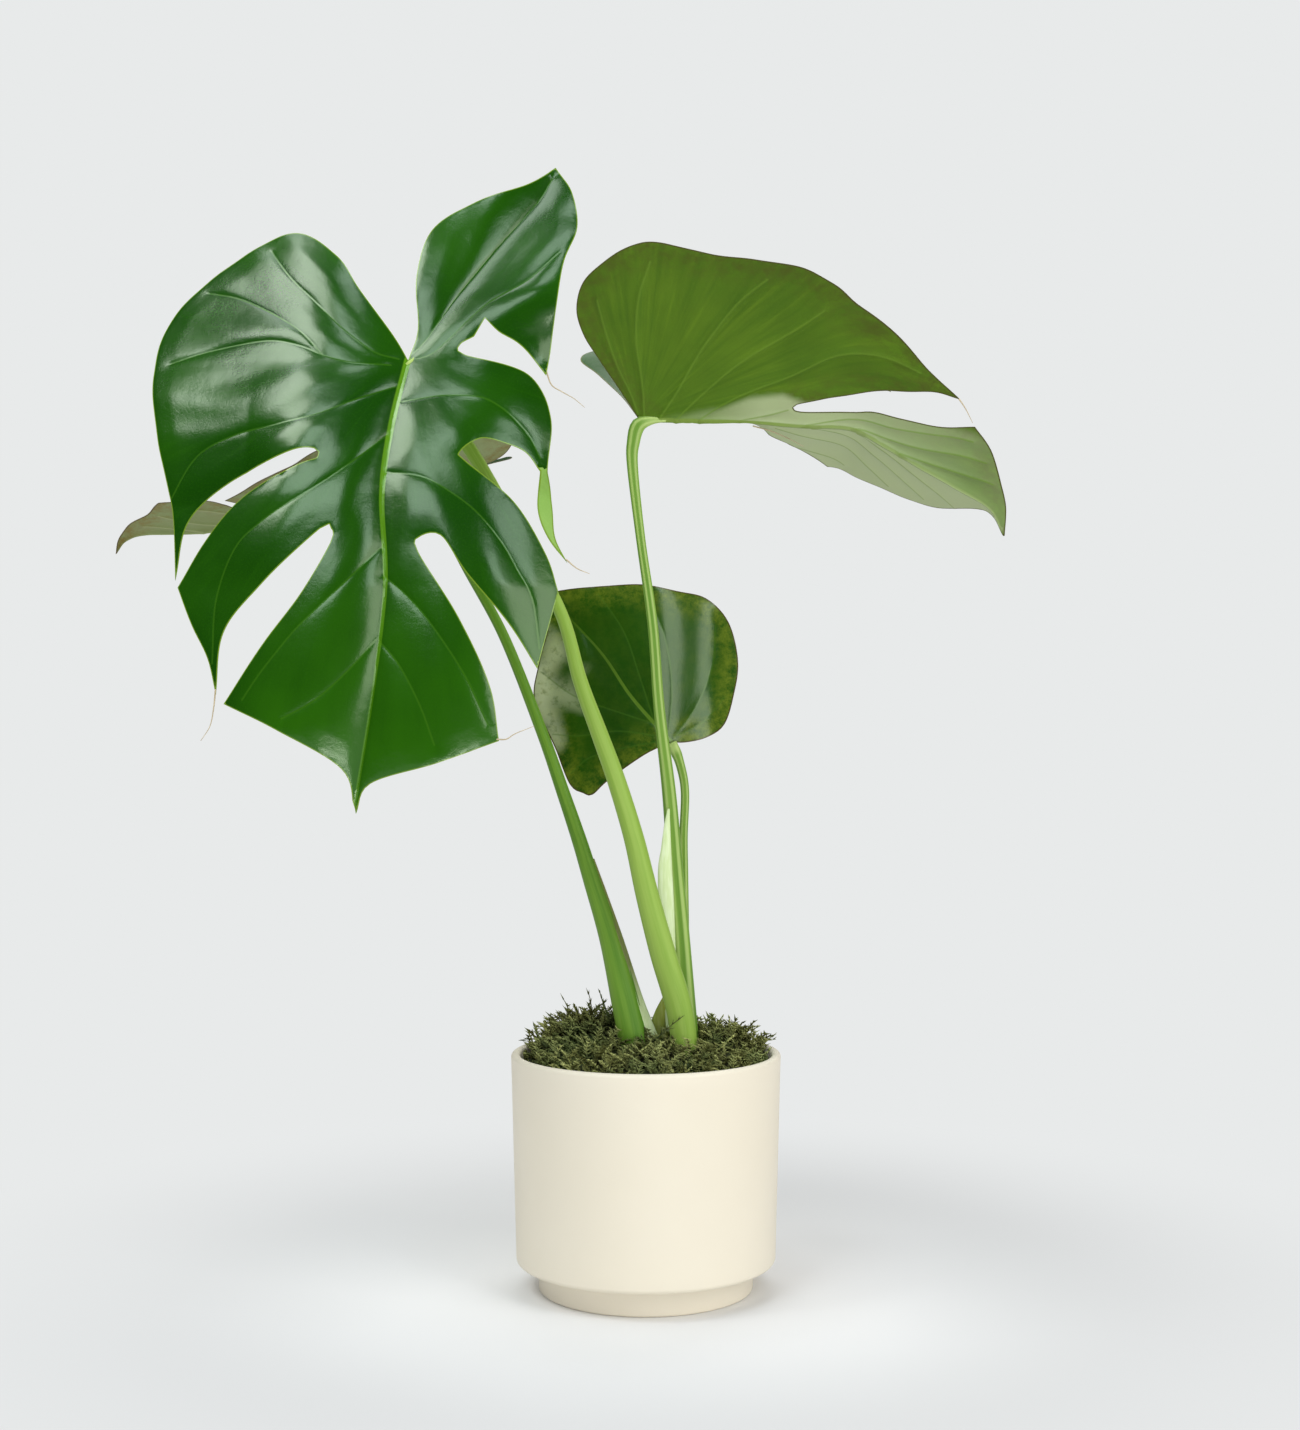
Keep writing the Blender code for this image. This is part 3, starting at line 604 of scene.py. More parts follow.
class Nodes:
    """A small helper that adds and links shader nodes."""

    def __init__(self, name, roughness=0.5, specular=0.5, coat=0.0, coat_roughness=0.1,
                 tint=(1, 1, 1, 1)):
        self.material = bpy.data.materials.new(name)
        self.material.use_nodes = True
        self.tree = self.material.node_tree
        self.shader = self.tree.nodes["Principled BSDF"]
        self.shader.inputs["Roughness"].default_value = roughness
        self.shader.inputs["Specular IOR Level"].default_value = specular
        self.shader.inputs["Coat Weight"].default_value = coat
        self.shader.inputs["Coat Roughness"].default_value = coat_roughness
        self.shader.inputs["Specular Tint"].default_value = tint

    def add(self, kind, settings=None, **inputs):
        node = self.tree.nodes.new(kind)
        for key, value in (settings or {}).items():
            setattr(node, key, value)
        for key, value in inputs.items():
            self.set(node.inputs[key.replace("_", " ")], value)
        return node

    def set(self, socket, value):
        if isinstance(value, bpy.types.NodeSocket):
            self.tree.links.new(value, socket)
        else:
            socket.default_value = value

    def number(self, attribute):
        return self.add("ShaderNodeAttribute", {"attribute_name": attribute}).outputs["Fac"]

    def vector(self, attribute):
        return self.add("ShaderNodeAttribute", {"attribute_name": attribute}).outputs["Vector"]

    def place(self):
        return self.add("ShaderNodeTexCoord").outputs["Object"]

    def stretched(self, vector, scale):
        node = self.add("ShaderNodeVectorMath", {"operation": "MULTIPLY"})
        self.set(node.inputs[0], vector)
        node.inputs[1].default_value = scale
        return node.outputs[0]

    def band(self, value, low, high, start=0.0, end=1.0):
        node = self.add("ShaderNodeMapRange", {"interpolation_type": "SMOOTHSTEP"})
        for index, item in enumerate((value, low, high, start, end)):
            self.set(node.inputs[index], item)
        return node.outputs[0]

    def mix(self, factor, first, second):
        node = self.add("ShaderNodeMix", {"data_type": "RGBA"})
        self.set(node.inputs[0], factor)
        self.set(node.inputs[6], first)
        self.set(node.inputs[7], second)
        return node.outputs[2]

    def maths(self, operation, first, second):
        node = self.add("ShaderNodeMath", {"operation": operation})
        self.set(node.inputs[0], first)
        self.set(node.inputs[1], second)
        return node.outputs[0]

    def noise(self, vector, scale, detail=3.0, rough=0.5):
        node = self.add("ShaderNodeTexNoise", None, Vector=vector, Scale=scale, Detail=detail,
                        Roughness=rough)
        return node.outputs["Fac"]

    def bump(self, height, strength, distance, under=None):
        node = self.add("ShaderNodeBump", None, Height=height, Strength=strength, Distance=distance)
        if under is not None:
            self.set(node.inputs["Normal"], under)
        return node.outputs["Normal"]

    def finish(self, colour, normal=None, roughness=None):
        self.set(self.shader.inputs["Base Color"], colour)
        if normal is not None:
            self.set(self.shader.inputs["Normal"], normal)
        if roughness is not None:
            self.set(self.shader.inputs["Roughness"], roughness)
        return self.material


def colour(red, green, blue):
    """A display colour, 0 to 255, as the linear colour that a shader takes."""
    linear = [((c / 255 + 0.055) / 1.055) ** 2.4 if c > 10 else c / 255 / 12.92
              for c in (red, green, blue)]
    return (*linear, 1.0)


def leaf_face(name, dark, light, vein, rib, margin, roughness, coat=0.0, margin_mm=0.9,
              vein_mm=0.8, vein_amount=0.6, mottle=None, pale=None, glow=None, streak=0.12,
              painted_light_min_share=1.0):
    """One face of a leaf: mottled body with painted light where asked, paler veins and midrib, a
    thin margin, a fine net.
    """
    kit = Nodes(name, roughness, 0.42 if coat else 0.22, coat, 0.16, (0.80, 1.0, 0.68, 1))
    flat = kit.vector("flat")
    cloud = kit.noise(flat, 16.0, 3.0)
    # The stored tone adds painted light on the front leaf: a lighter end lobe and top lobe outside.
    tone = kit.maths("ADD", kit.band(cloud, 0.3, 0.75, 0.0, 0.35), kit.number("brightness"))
    body = kit.mix(tone, dark, light)
    speckle = kit.noise(flat, 900.0, 2.0)
    body = kit.mix(kit.band(speckle, 0.45, 0.75, 0.0, 0.2), body, light)
    lines = kit.noise(kit.vector("fan"), 1.0, 3.0, 0.6)
    body = kit.mix(kit.band(lines, 0.46, 0.68, 0.0, streak), body, dark)
    body = kit.mix(kit.band(lines, 0.30, 0.46, streak, 0.0), body, light)
    if mottle:
        patches = kit.noise(flat, 95.0, 8.0, 0.8)
        near_edge = kit.band(kit.number("edge_mm"), 2.0, 22.0, 1.0, 0.1)
        amount = kit.maths("MULTIPLY", kit.band(patches, 0.36, 0.66), near_edge)
        body = kit.mix(amount, body, mottle)
    # The pale colour is painted light: a painted highlight on the small leaf and a painted
    # reflection on the right leaf's underside; noise breaks it up on the small leaf.
    if pale:
        painted_light_breakup = kit.band(kit.noise(flat, 150.0, 4.0, 0.7), 0.3, 0.52, painted_light_min_share, 1.0)
        body = kit.mix(kit.maths("MULTIPLY", kit.number("pale"), painted_light_breakup), body, pale)
    veined = kit.mix(kit.band(kit.number("vein_mm"), vein_mm * 0.3, vein_mm, vein_amount, 0.0),
                     body, vein)
    rib_amount = kit.maths("MULTIPLY", kit.band(kit.number("rib_share"), 0.6, 1.0, 1.0, 0.0),
                           kit.number("rib_strength"))
    ribbed = kit.mix(rib_amount, veined, rib)
    edged = kit.mix(kit.band(kit.number("edge_mm"), margin_mm * 0.5, margin_mm, 1.0, 0.0), ribbed,
                    margin)
    net = kit.add("ShaderNodeTexVoronoi", {"feature": "DISTANCE_TO_EDGE"}, Vector=flat, Scale=330.0)
    grain = kit.bump(kit.noise(flat, 1500.0, 2.0), 0.05, 0.0002)
    bumps = kit.bump(kit.band(net.outputs["Distance"], 0.0, 0.12), 0.05, 0.0003, grain)
    folds = kit.bump(kit.noise(flat, 70.0, 3.0, 0.5), 0.22, 0.0012, bumps)
    folds = kit.bump(lines, 0.06, 0.0006, folds)
    material = kit.finish(edged, folds)
    if glow:
        glowing = kit.add("ShaderNodeBsdfTranslucent", None, Color=glow)
        blended = kit.add("ShaderNodeMixShader", None, Fac=0.22)
        kit.tree.links.new(kit.shader.outputs[0], blended.inputs[1])
        kit.tree.links.new(glowing.outputs[0], blended.inputs[2])
        out = kit.tree.nodes["Material Output"]
        kit.tree.links.new(blended.outputs[0], out.inputs["Surface"])
    return material


def stalk_material(name, dark, light, pale, lines=0.0):
    """A stalk with lengthwise streaks, and two pale ridges beside its groove."""
    kit = Nodes(name, 0.52, specular=0.3)
    around = kit.vector("around")
    stretched = kit.stretched(around, (1.0, 1.0, 6.0))
    streaks = kit.noise(stretched, 1.6, 4.0, 0.5)
    fine = kit.noise(stretched, 9.0, 3.0)
    body = kit.mix(kit.band(streaks, 0.3, 0.7), dark, light)
    body = kit.mix(kit.band(fine, 0.5, 0.8, 0.0, 0.16), body, pale)
    flecks = kit.noise(around, 24.0, 2.0)
    body = kit.mix(kit.band(flecks, 0.74, 0.78, 0.0, 0.5), body, colour(96, 104, 40))
    if lines:
        parts = kit.add("ShaderNodeSeparateXYZ", None, Vector=around)
        front = kit.maths("MULTIPLY", parts.outputs["Y"], -1.0)
        ridge = kit.maths("MULTIPLY", kit.band(front, 0.62, 0.80),
                          kit.band(front, 0.90, 0.97, 1.0, 0.0))
        body = kit.mix(kit.maths("MULTIPLY", ridge, lines), body, pale)
        body = kit.mix(kit.band(front, 0.94, 0.99, 0.0, 0.45), body, dark)
    end = kit.band(kit.number("along"), 0.955, 0.985)
    body = kit.mix(kit.maths("MULTIPLY", end, 0.6), body, pale)
    grain = kit.bump(fine, 0.08, 0.0003)
    return kit.finish(body, grain)


def sheath_material(name, first, second):
    kit = Nodes(name, 0.5, specular=0.3)
    streaks = kit.noise(kit.stretched(kit.place(), (1.0, 1.0, 0.06)), 900.0, 3.0)
    body = kit.mix(kit.band(streaks, 0.35, 0.7), first, second)
    body = kit.mix(kit.number("darker"), body, colour(112, 116, 52))
    return kit.finish(body, kit.bump(streaks, 0.3, 0.0003))


def pot_material():
    """Matte cream ceramic: a soft mottle, faint speckle and a fine tooth."""
    kit = Nodes("matte_cream_ceramic", 0.52, specular=0.4)
    place = kit.place()
    body = kit.mix(kit.noise(place, 14.0, 3.0), colour(226, 217, 197), colour(230, 222, 204))
    specks = kit.band(kit.noise(place, 1400.0, 1.0), 0.74, 0.8, 0.0, 0.25)
    body = kit.mix(specks, body, colour(205, 190, 165))
    tooth = kit.bump(kit.noise(place, 2600.0, 2.0), 0.10, 0.0002)
    drift = kit.bump(kit.noise(place, 30.0, 2.0), 0.08, 0.002, tooth)
    rough = kit.band(kit.noise(place, 60.0, 3.0), 0.3, 0.7, 0.46, 0.58)
    return kit.finish(body, drift, rough)


def soil_material():
    kit = Nodes("potting_mix", 0.95, specular=0.2)
    place = kit.place()
    body = kit.mix(kit.band(kit.noise(place, 260.0, 5.0), 0.4, 0.6), colour(38, 28, 20),
                   colour(74, 58, 42))
    grit = kit.add("ShaderNodeTexVoronoi", None, Vector=place, Scale=420.0)
    body = kit.mix(kit.band(grit.outputs["Distance"], 0.0, 0.25, 0.4, 0.0), body,
                   colour(150, 140, 120))
    return kit.finish(body, kit.bump(kit.noise(place, 320.0, 4.0), 0.8, 0.002))


def moss_material(name, root, stem, tip):
    kit = Nodes(name, 0.85, specular=0.2)
    place = kit.place()
    tinted = kit.mix(kit.number("tint"), stem, tip)
    body = kit.mix(kit.band(kit.number("reach"), 0.0, 0.75), root, tinted)
    patches = kit.band(kit.noise(place, 30.0, 2.0), 0.42, 0.62)
    body = kit.mix(kit.maths("MULTIPLY", patches, 0.5), body, colour(76, 98, 56))
    return kit.finish(body, kit.bump(kit.noise(place, 1200.0, 3.0), 0.4, 0.0005))


# ---------------------------------------------------------------- pieces

def outer_radius(z):
    return POT_LOW_RADIUS + (POT_RIM_RADIUS - POT_LOW_RADIUS) * z / POT_HEIGHT


def inner_radius(z):
    return outer_radius(z) - POT_WALL


def turned(profile, turns, shape=None):
    """A turned solid from (radius, height) points, which start and end on the axis."""
    vertices = [(0, 0, profile[0][1])]
    for radius, height in profile[1:-1]:
        for k in range(turns):
            turn = 2 * math.pi * k / turns
            vertices.append((radius * math.cos(turn), radius * math.sin(turn), height))
    vertices.append((0, 0, profile[-1][1]))
    faces = []
    last = len(vertices) - 1
    for k in range(turns):
        after = (k + 1) % turns
        faces.append([0, 1 + after, 1 + k])
        faces.append([last, last - turns + k, last - turns + after])
        for ring in range(len(profile) - 3):
            a, b = 1 + ring * turns + k, 1 + ring * turns + after
            faces.append([a, b, b + turns, a + turns])
    if shape:
        vertices = [shape(*v) for v in vertices]
    return vertices, faces


def arc(centre_radius, centre_height, radius, start, end, steps):
    """Points on a round corner of a turned profile; angles in degrees."""
    turns = [math.radians(start + (end - start) * i / steps) for i in range(steps + 1)]
    return [(centre_radius + radius * math.cos(t), centre_height + radius * math.sin(t))
            for t in turns]


def add_pot():
    profile = [(0, 0), (FOOT_RADIUS - 20, 0)]
    profile += arc(FOOT_RADIUS - 1.4, 1.4, 1.4, -90, 0, 6)
    profile += [(FOOT_RADIUS + 0.1, FOOT_HEIGHT - 1.2), (FOOT_RADIUS + 0.7, FOOT_HEIGHT - 0.3),
                (FOOT_RADIUS + 2, FOOT_HEIGHT)]
    profile += arc(outer_radius(20) - 3, FOOT_HEIGHT + 3.6, 3, -90, 0, 8)
    profile += [(outer_radius(z), z) for z in (24, 50, 80, 110, 130)]
    half = POT_WALL / 2
    profile += [(POT_RIM_RADIUS - half + half * c, POT_HEIGHT - 2.2 + 2.2 * s)
                for c, s in ((math.cos(math.pi * i / 14), math.sin(math.pi * i / 14))
                             for i in range(15))]
    profile += [(inner_radius(z), z) for z in (130, 100, 60, STEP_TOP + 3)]
    profile += [(inner_radius(STEP_TOP) - 2, STEP_TOP), (FLOOR_RADIUS + 3, STEP_TOP - 2),
                (FLOOR_RADIUS, STEP_TOP - 5), (FLOOR_RADIUS, FLOOR_TOP + 3),
                (FLOOR_RADIUS - 3, FLOOR_TOP), (0, FLOOR_TOP)]
    vertices, faces = turned(profile, POT_TURNS)
    add_mesh("pot_body", vertices, faces, [pot_material()], "pot")


def moss_height(x, y):
    """Top of the moss: a low mound, with two higher clumps towards the back."""
    mound = MOSS_RISE * (1 - (x * x + y * y) / 5400)
    left_clump = 9 * math.exp(-((x + 36) ** 2 + (y - 26) ** 2) / 800)
    right_clump = 5 * math.exp(-((x - 48) ** 2 + (y - 24) ** 2) / 700)
    return MOSS_EDGE_TOP + mound + left_clump + right_clump


def add_moss():
    bed_top = MOSS_EDGE_TOP - 2.5
    edge = inner_radius(bed_top) - 0.4

    def lump(x, y, z):
        if z < bed_top:
            return x, y, z
        bumps = 0.9 * math.sin(x * 0.9 + 2 * math.sin(y * 0.4)) * math.sin(y * 0.8)
        return x, y, moss_height(x, y) - 2.5 + bumps

    radii = [edge] + [edge - 1.5 - 3.1 * i for i in range(23)]
    profile = [(0, MOSS_LOW), (inner_radius(MOSS_LOW) - 0.4, MOSS_LOW)]
    profile += [(r, bed_top) for r in radii] + [(0, bed_top)]
    vertices, faces = turned(profile, 140, lump)
    bed = add_mesh("moss_bed", vertices, faces,
                   [moss_material("moss_bed_dark", colour(24, 24, 12), colour(40, 40, 20),
                                  colour(60, 62, 34))], "moss_topping")
    add_numbers(bed, "tint", [0.4] * len(vertices))
    add_numbers(bed, "reach", [0.5] * len(vertices))
    add_fronds()


def three_round(place, across, over, thick):
    """Three points round a stem."""
    turns = [2 * math.pi * k / 3 for k in range(3)]
    return [place + (across * math.cos(t) + over * math.sin(t)) * thick for t in turns]


def frond(base, way, length, radius, bend, draw, store, tint, barbs=5):
    """One moss frond: a curved tapering stem with short barbs on both sides."""
    vertices, faces, tints, reaches = store
    steps = 5
    spots = []
    spot, heading = Vector(base), Vector(way).normalized()
    for _ in range(steps + 1):
        spots.append(spot.copy())
        heading = (heading + Vector(bend) * 0.30).normalized()
        spot = spot + heading * (length / steps)
    side = heading.cross(Vector((0.3, 0.2, 1))).normalized()
    first = len(vertices)
    for i, place in enumerate(spots):
        ahead = spots[min(i + 1, steps)] - spots[max(i - 1, 0)]
        across = ahead.cross(Vector((0.31, 0.17, 0.93))).normalized()
        over = across.cross(ahead.normalized())
        thick = radius * (1 - 0.75 * i / steps)
        vertices.extend(three_round(place, across, over, thick))
        tints.extend([tint] * 3)
        reaches.extend([i / steps] * 3)
    faces += [[first + v for v in f] for f in tube_faces(steps + 1, 3)]
    for i in range(barbs):
        share = 0.3 + 0.62 * i / max(1, barbs - 1)
        place = spots[min(int(share * steps), steps - 1)]
        after = spots[min(int(share * steps) + 1, steps)]
        root = place.lerp(after, share * steps % 1)
        ahead = (after - place).normalized()
        for sign in (-1, 1):
            lift = Vector((0, 0, draw.uniform(-0.3, 0.5)))
            barb_way = (ahead * 0.75 + side * sign + lift).normalized()
            barb_length = length * (0.38 - 0.18 * share) * draw.uniform(0.6, 1.3)
            thick = radius * 0.7
            across = barb_way.cross(Vector((0.1, 0.3, 0.95))).normalized()
            over = across.cross(barb_way)
            start = len(vertices)
            vertices.extend(three_round(root, across, over, thick))
            vertices.append(root + barb_way * barb_length)
            tints.extend([tint] * 4)
            reaches.extend([share, share, share, 1.0])
            faces.extend([[start, start + 1, start + 3], [start + 1, start + 2, start + 3],
                          [start + 2, start, start + 3], [start, start + 2, start + 1]])


def add_fronds():
    draw = random.Random(SEED)
    store = [], [], [], []
    feet = [(path[0], path[1]) for path in (FRONT_STALK, LEFT_STALK, RIGHT_STALK, SMALL_STALK)]
    made = 0
    while made < FROND_COUNT:
        radius = 72.5 * math.sqrt(draw.random())
        turn = draw.uniform(0, 2 * math.pi)
        x, y = radius * math.cos(turn), radius * math.sin(turn)
        if any(math.hypot(x - foot[1][0], y - foot[1][1]) < foot[0][3] + 0.8 for foot in feet):
            continue
        made += 1
        z = moss_height(x, y) - 4.5
        outward = draw.uniform(-0.6, 0.9) if radius < 62 else draw.uniform(-1.0, 0.25)
        swirl = draw.uniform(-0.9, 0.9)
        way = (math.cos(turn) * outward - math.sin(turn) * swirl,
               math.sin(turn) * outward + math.cos(turn) * swirl, draw.uniform(0.35, 1.3))
        bend = (draw.uniform(-1, 1), draw.uniform(-1, 1), draw.uniform(-0.8, 0.4))
        behind = 1.25 if y > 8 else 1.0
        frond((x, y, z), way, draw.uniform(8, 17) * behind, draw.uniform(0.75, 1.5), bend, draw,
              store, draw.random() ** 1.4, 5)
    for centre_x, centre_y, spread, count, lift in ((-42, 30, 15, 120, 3), (50, 26, 13, 60, 1.5)):
        for _ in range(count):
            x, y = draw.gauss(centre_x, spread), draw.gauss(centre_y, spread * 0.6)
            if math.hypot(x, y) > 69 or math.hypot(x + 11, y) < 12:
                continue
            way = (draw.uniform(-0.7, 0.7), draw.uniform(-0.5, 0.5), 1.0)
            bend = (draw.uniform(-1.2, 1.2), draw.uniform(-1, 1), draw.uniform(-0.5, 0.5))
            frond((x, y, moss_height(x, y) - 3 + lift), way, draw.uniform(10, 17),
                  draw.uniform(0.7, 1.1), bend, draw, store, draw.uniform(0.0, 0.7), 5)
    for low_x, high_x, low_y, high_y, count, short, long in (
            (-62, -16, 16, 36, 34, 15, 25), (34, 66, 8, 28, 16, 11, 16)):
        for _ in range(count):
            x, y = draw.uniform(low_x, high_x), draw.uniform(low_y, high_y)
            if math.hypot(x, y) > 68:
                continue
            way = (draw.uniform(-0.5, 0.5), draw.uniform(-0.3, 0.3), 1.0)
            bend = (draw.uniform(-1.8, 1.8), draw.uniform(-0.6, 0.6), draw.uniform(-0.9, 0.2))
            frond((x, y, moss_height(x, y) - 2), way, draw.uniform(short, long),
                  draw.uniform(0.6, 0.95), bend, draw, store, draw.uniform(0.0, 0.25), 4)
    sprigs = [((-58, -16, 144), (-14, 4, 12), 16, 0.8, (0.3, 0, 0.2)),
              ((-22, 8, 158), (-7, 2, 15), 17, 0.75, (-0.1, 0, 0.5)),
              ((-40, 30, 148), (-6, 0, 16), 17, 0.8, (-0.7, 0, -0.3)),
              ((-46, 24, 148), (5, 0, 16), 16, 0.8, (0.7, 0, -0.4)),
              ((-33, 28, 149), (3, 0, 16), 16, 0.75, (0.6, 0, -0.4)),
              ((-52, 18, 146), (-8, 0, 14), 14, 0.8, (0.5, 0, 0.3)),
              ((62, 6, 134), (10, 0, 9), 15, 0.8, (-0.2, 0, 0.4)),
              ((67, 14, 134), (6, 0, 12), 12, 0.8, (-0.5, 0, 0.5)),
              ((50, 26, 140), (2, 0, 12), 13, 0.8, (0.8, 0, -0.4)),
              ((4, -21, 148), (17, -1.5, 17), 22, 0.7, (0.1, -0.05, 0))]
    for base, way, length, thick, bend in sprigs:
        frond(base, way, length, thick, bend, draw, store, 0.1, 4)
    vertices, faces, tints, reaches = store
    for vertex in vertices:
        room = inner_radius(POT_HEIGHT) - 0.5
        reach = math.hypot(vertex[0], vertex[1])
        if vertex[2] < POT_HEIGHT + 1 and reach > room:
            vertex[0] *= room / reach
            vertex[1] *= room / reach
    fronds = add_mesh("moss_fronds", [tuple(v) for v in vertices], faces,
                      [moss_material("moss_frond", colour(34, 29, 13), colour(84, 86, 38),
                                     colour(184, 188, 118))])
    add_numbers(fronds, "tint", tints)
    add_numbers(fronds, "reach", reaches)


def groove(depth):
    """A stalk's cross-section, with a shallow channel at the front."""

    def scale(turn, along):
        front = max(0.0, math.cos(turn + math.pi / 2))
        return 1 - depth * front**10 + 0.03 * math.cos(3 * turn)

    return scale


def joint_swell(along):
    """The slight thickening where a stalk meets its blade."""
    return 1 + 0.16 * math.exp(-(((along - 0.965) / 0.02) ** 2))


def add_stalk(name, path, material, depth):
    vertices, faces, rounds, alongs = tube(path, 3, 28, groove(depth), joint_swell)
    stalk = add_mesh(name + "_skin", [tuple(v) for v in vertices], faces, [material], name)
    add_numbers(stalk, "around", rounds)
    add_numbers(stalk, "along", alongs)


def add_sheath(name, rows, material, darker):
    """A tapering leaf sheath: a bowed strip between its free edge and its stalk edge."""
    curve = smooth_run(rows, 3)
    across = 8
    vertices = []
    for z, free_x, free_y, stalk_x, stalk_y in curve:
        free, stalk = Vector((free_x, free_y, z)), Vector((stalk_x, stalk_y, z))
        width = stalk - free
        out = Vector((width.y, -width.x, 0)).normalized()
        front, back = [], []
        for k in range(across + 1):
            share = k / across
            bow = math.sin(math.pi * share) * 0.14 * width.length
            thick = SHEATH_THICKNESS / 2 * min(1, 0.3 + 1.4 * share)
            middle = free + width * share + out * bow
            front.append(middle + out * thick)
            back.append(middle - out * thick)
        vertices += front + back[::-1]
    sheath = add_mesh(name + "_skin", [tuple(v) for v in vertices],
                      tube_faces(len(curve), 2 * (across + 1)), [material], name)
    heights = np.array([v.z for v in vertices])
    add_numbers(sheath, "darker", np.interp(heights, *darker))


def add_threads(right_place):
    """Dried threads at the tips of the lobes."""
    kit = Nodes("dried_thread", 0.7)
    place = kit.place()
    body = kit.mix(kit.noise(place, 400.0), colour(206, 192, 160), colour(160, 138, 104))
    material = kit.finish(body)
    front_lines = {
        "front_leaf_thread_low": [(-234, 352), (-235, 342), (-237, 332), (-242, 324)],
        "front_leaf_thread_top": [(-57, 535), (-54, 527), (-48, 523), (-41, 519), (-35, 514)],
        "front_leaf_thread_tongue": [(-44, 424), (-38, 419), (-31, 416)],
        "front_leaf_thread_end": [(-81, 325), (-75, 325), (-70, 328), (-60, 332)],
    }
    lines = {}
    for name, line in front_lines.items():
        start = place_front(np.array(line[:1], float))[0]
        lines[name] = [(x, start[1], z) for x, z in line]
    tip = right_place(np.array([(171.0, 52.0)]))[0]
    lines["right_leaf_thread"] = [tip + (0, 0, 0), tip + (4, 0, -6), tip + (8, 0, -14)]
    lines["right_leaf_strand"] = [(64, 14, 511), (75, 17, 508.4), (86, 19, 504), (95, 21, 499.6)]
    for name, line in lines.items():
        radii = np.linspace(0.45, 0.14, len(line))
        vertices, faces, *_ = tube([(*p, r) for p, r in zip(line, radii)], 1.2, 6)
        add_mesh(name, [tuple(v) for v in vertices], faces, [material])


def front_painted_light(spots):
    """Painted light on the front leaf: its end lobe and the outside of its top lobe are painted
    lighter, where light falls on them.
    """
    x, z = spots.T
    end_lobe = np.clip((430 - z) / 110, 0, 1) * np.clip((x + 240) / 40, 0, 1)
    top_lobe = np.clip((z - 590) / 60, 0, 1) * np.clip((-90 - x) / 30, 0, 1)
    return {"brightness": 0.05 + 0.65 * end_lobe + 0.5 * top_lobe}


def right_painted_reflection(spots):
    """Painted light on the right leaf's underside: a fan beside the midrib and the end lobe are
    painted pale, a painted reflection of light from the floor.
    """
    along, away = spots.T
    fan_edge = np.interp(along, [0, 49, 64, 84, 100, 125, 190], [1, 12, 20, 24, 18, 22, 40])
    fan = np.clip((fan_edge - away) / 5, 0, 1) * np.clip((along - 12) / 60, 0, 1)
    end_far = np.clip(((along - 62) * 0.742 + away * 0.671) / 6 + 0.5, 0, 1)
    fan *= np.interp(along, [105, 150, 205], [1, 0.7, 0.3])
    return {"pale": np.where(away > 0, 0.72 * fan, 0.86 * end_far)}


def small_painted_highlight(spots):
    """A painted highlight: a pale patch near the small leaf's left edge."""
    x, z = spots.T
    reach = np.hypot((x + 65) / 22, (z - 354) / 42)
    reach += 0.24 * np.sin(x / 4.5 + 2 * np.sin(z / 9)) + 0.16 * np.sin(z / 4.7 + x / 8)
    return {"pale": 0.8 * np.clip(1.1 - reach, 0, 1)}


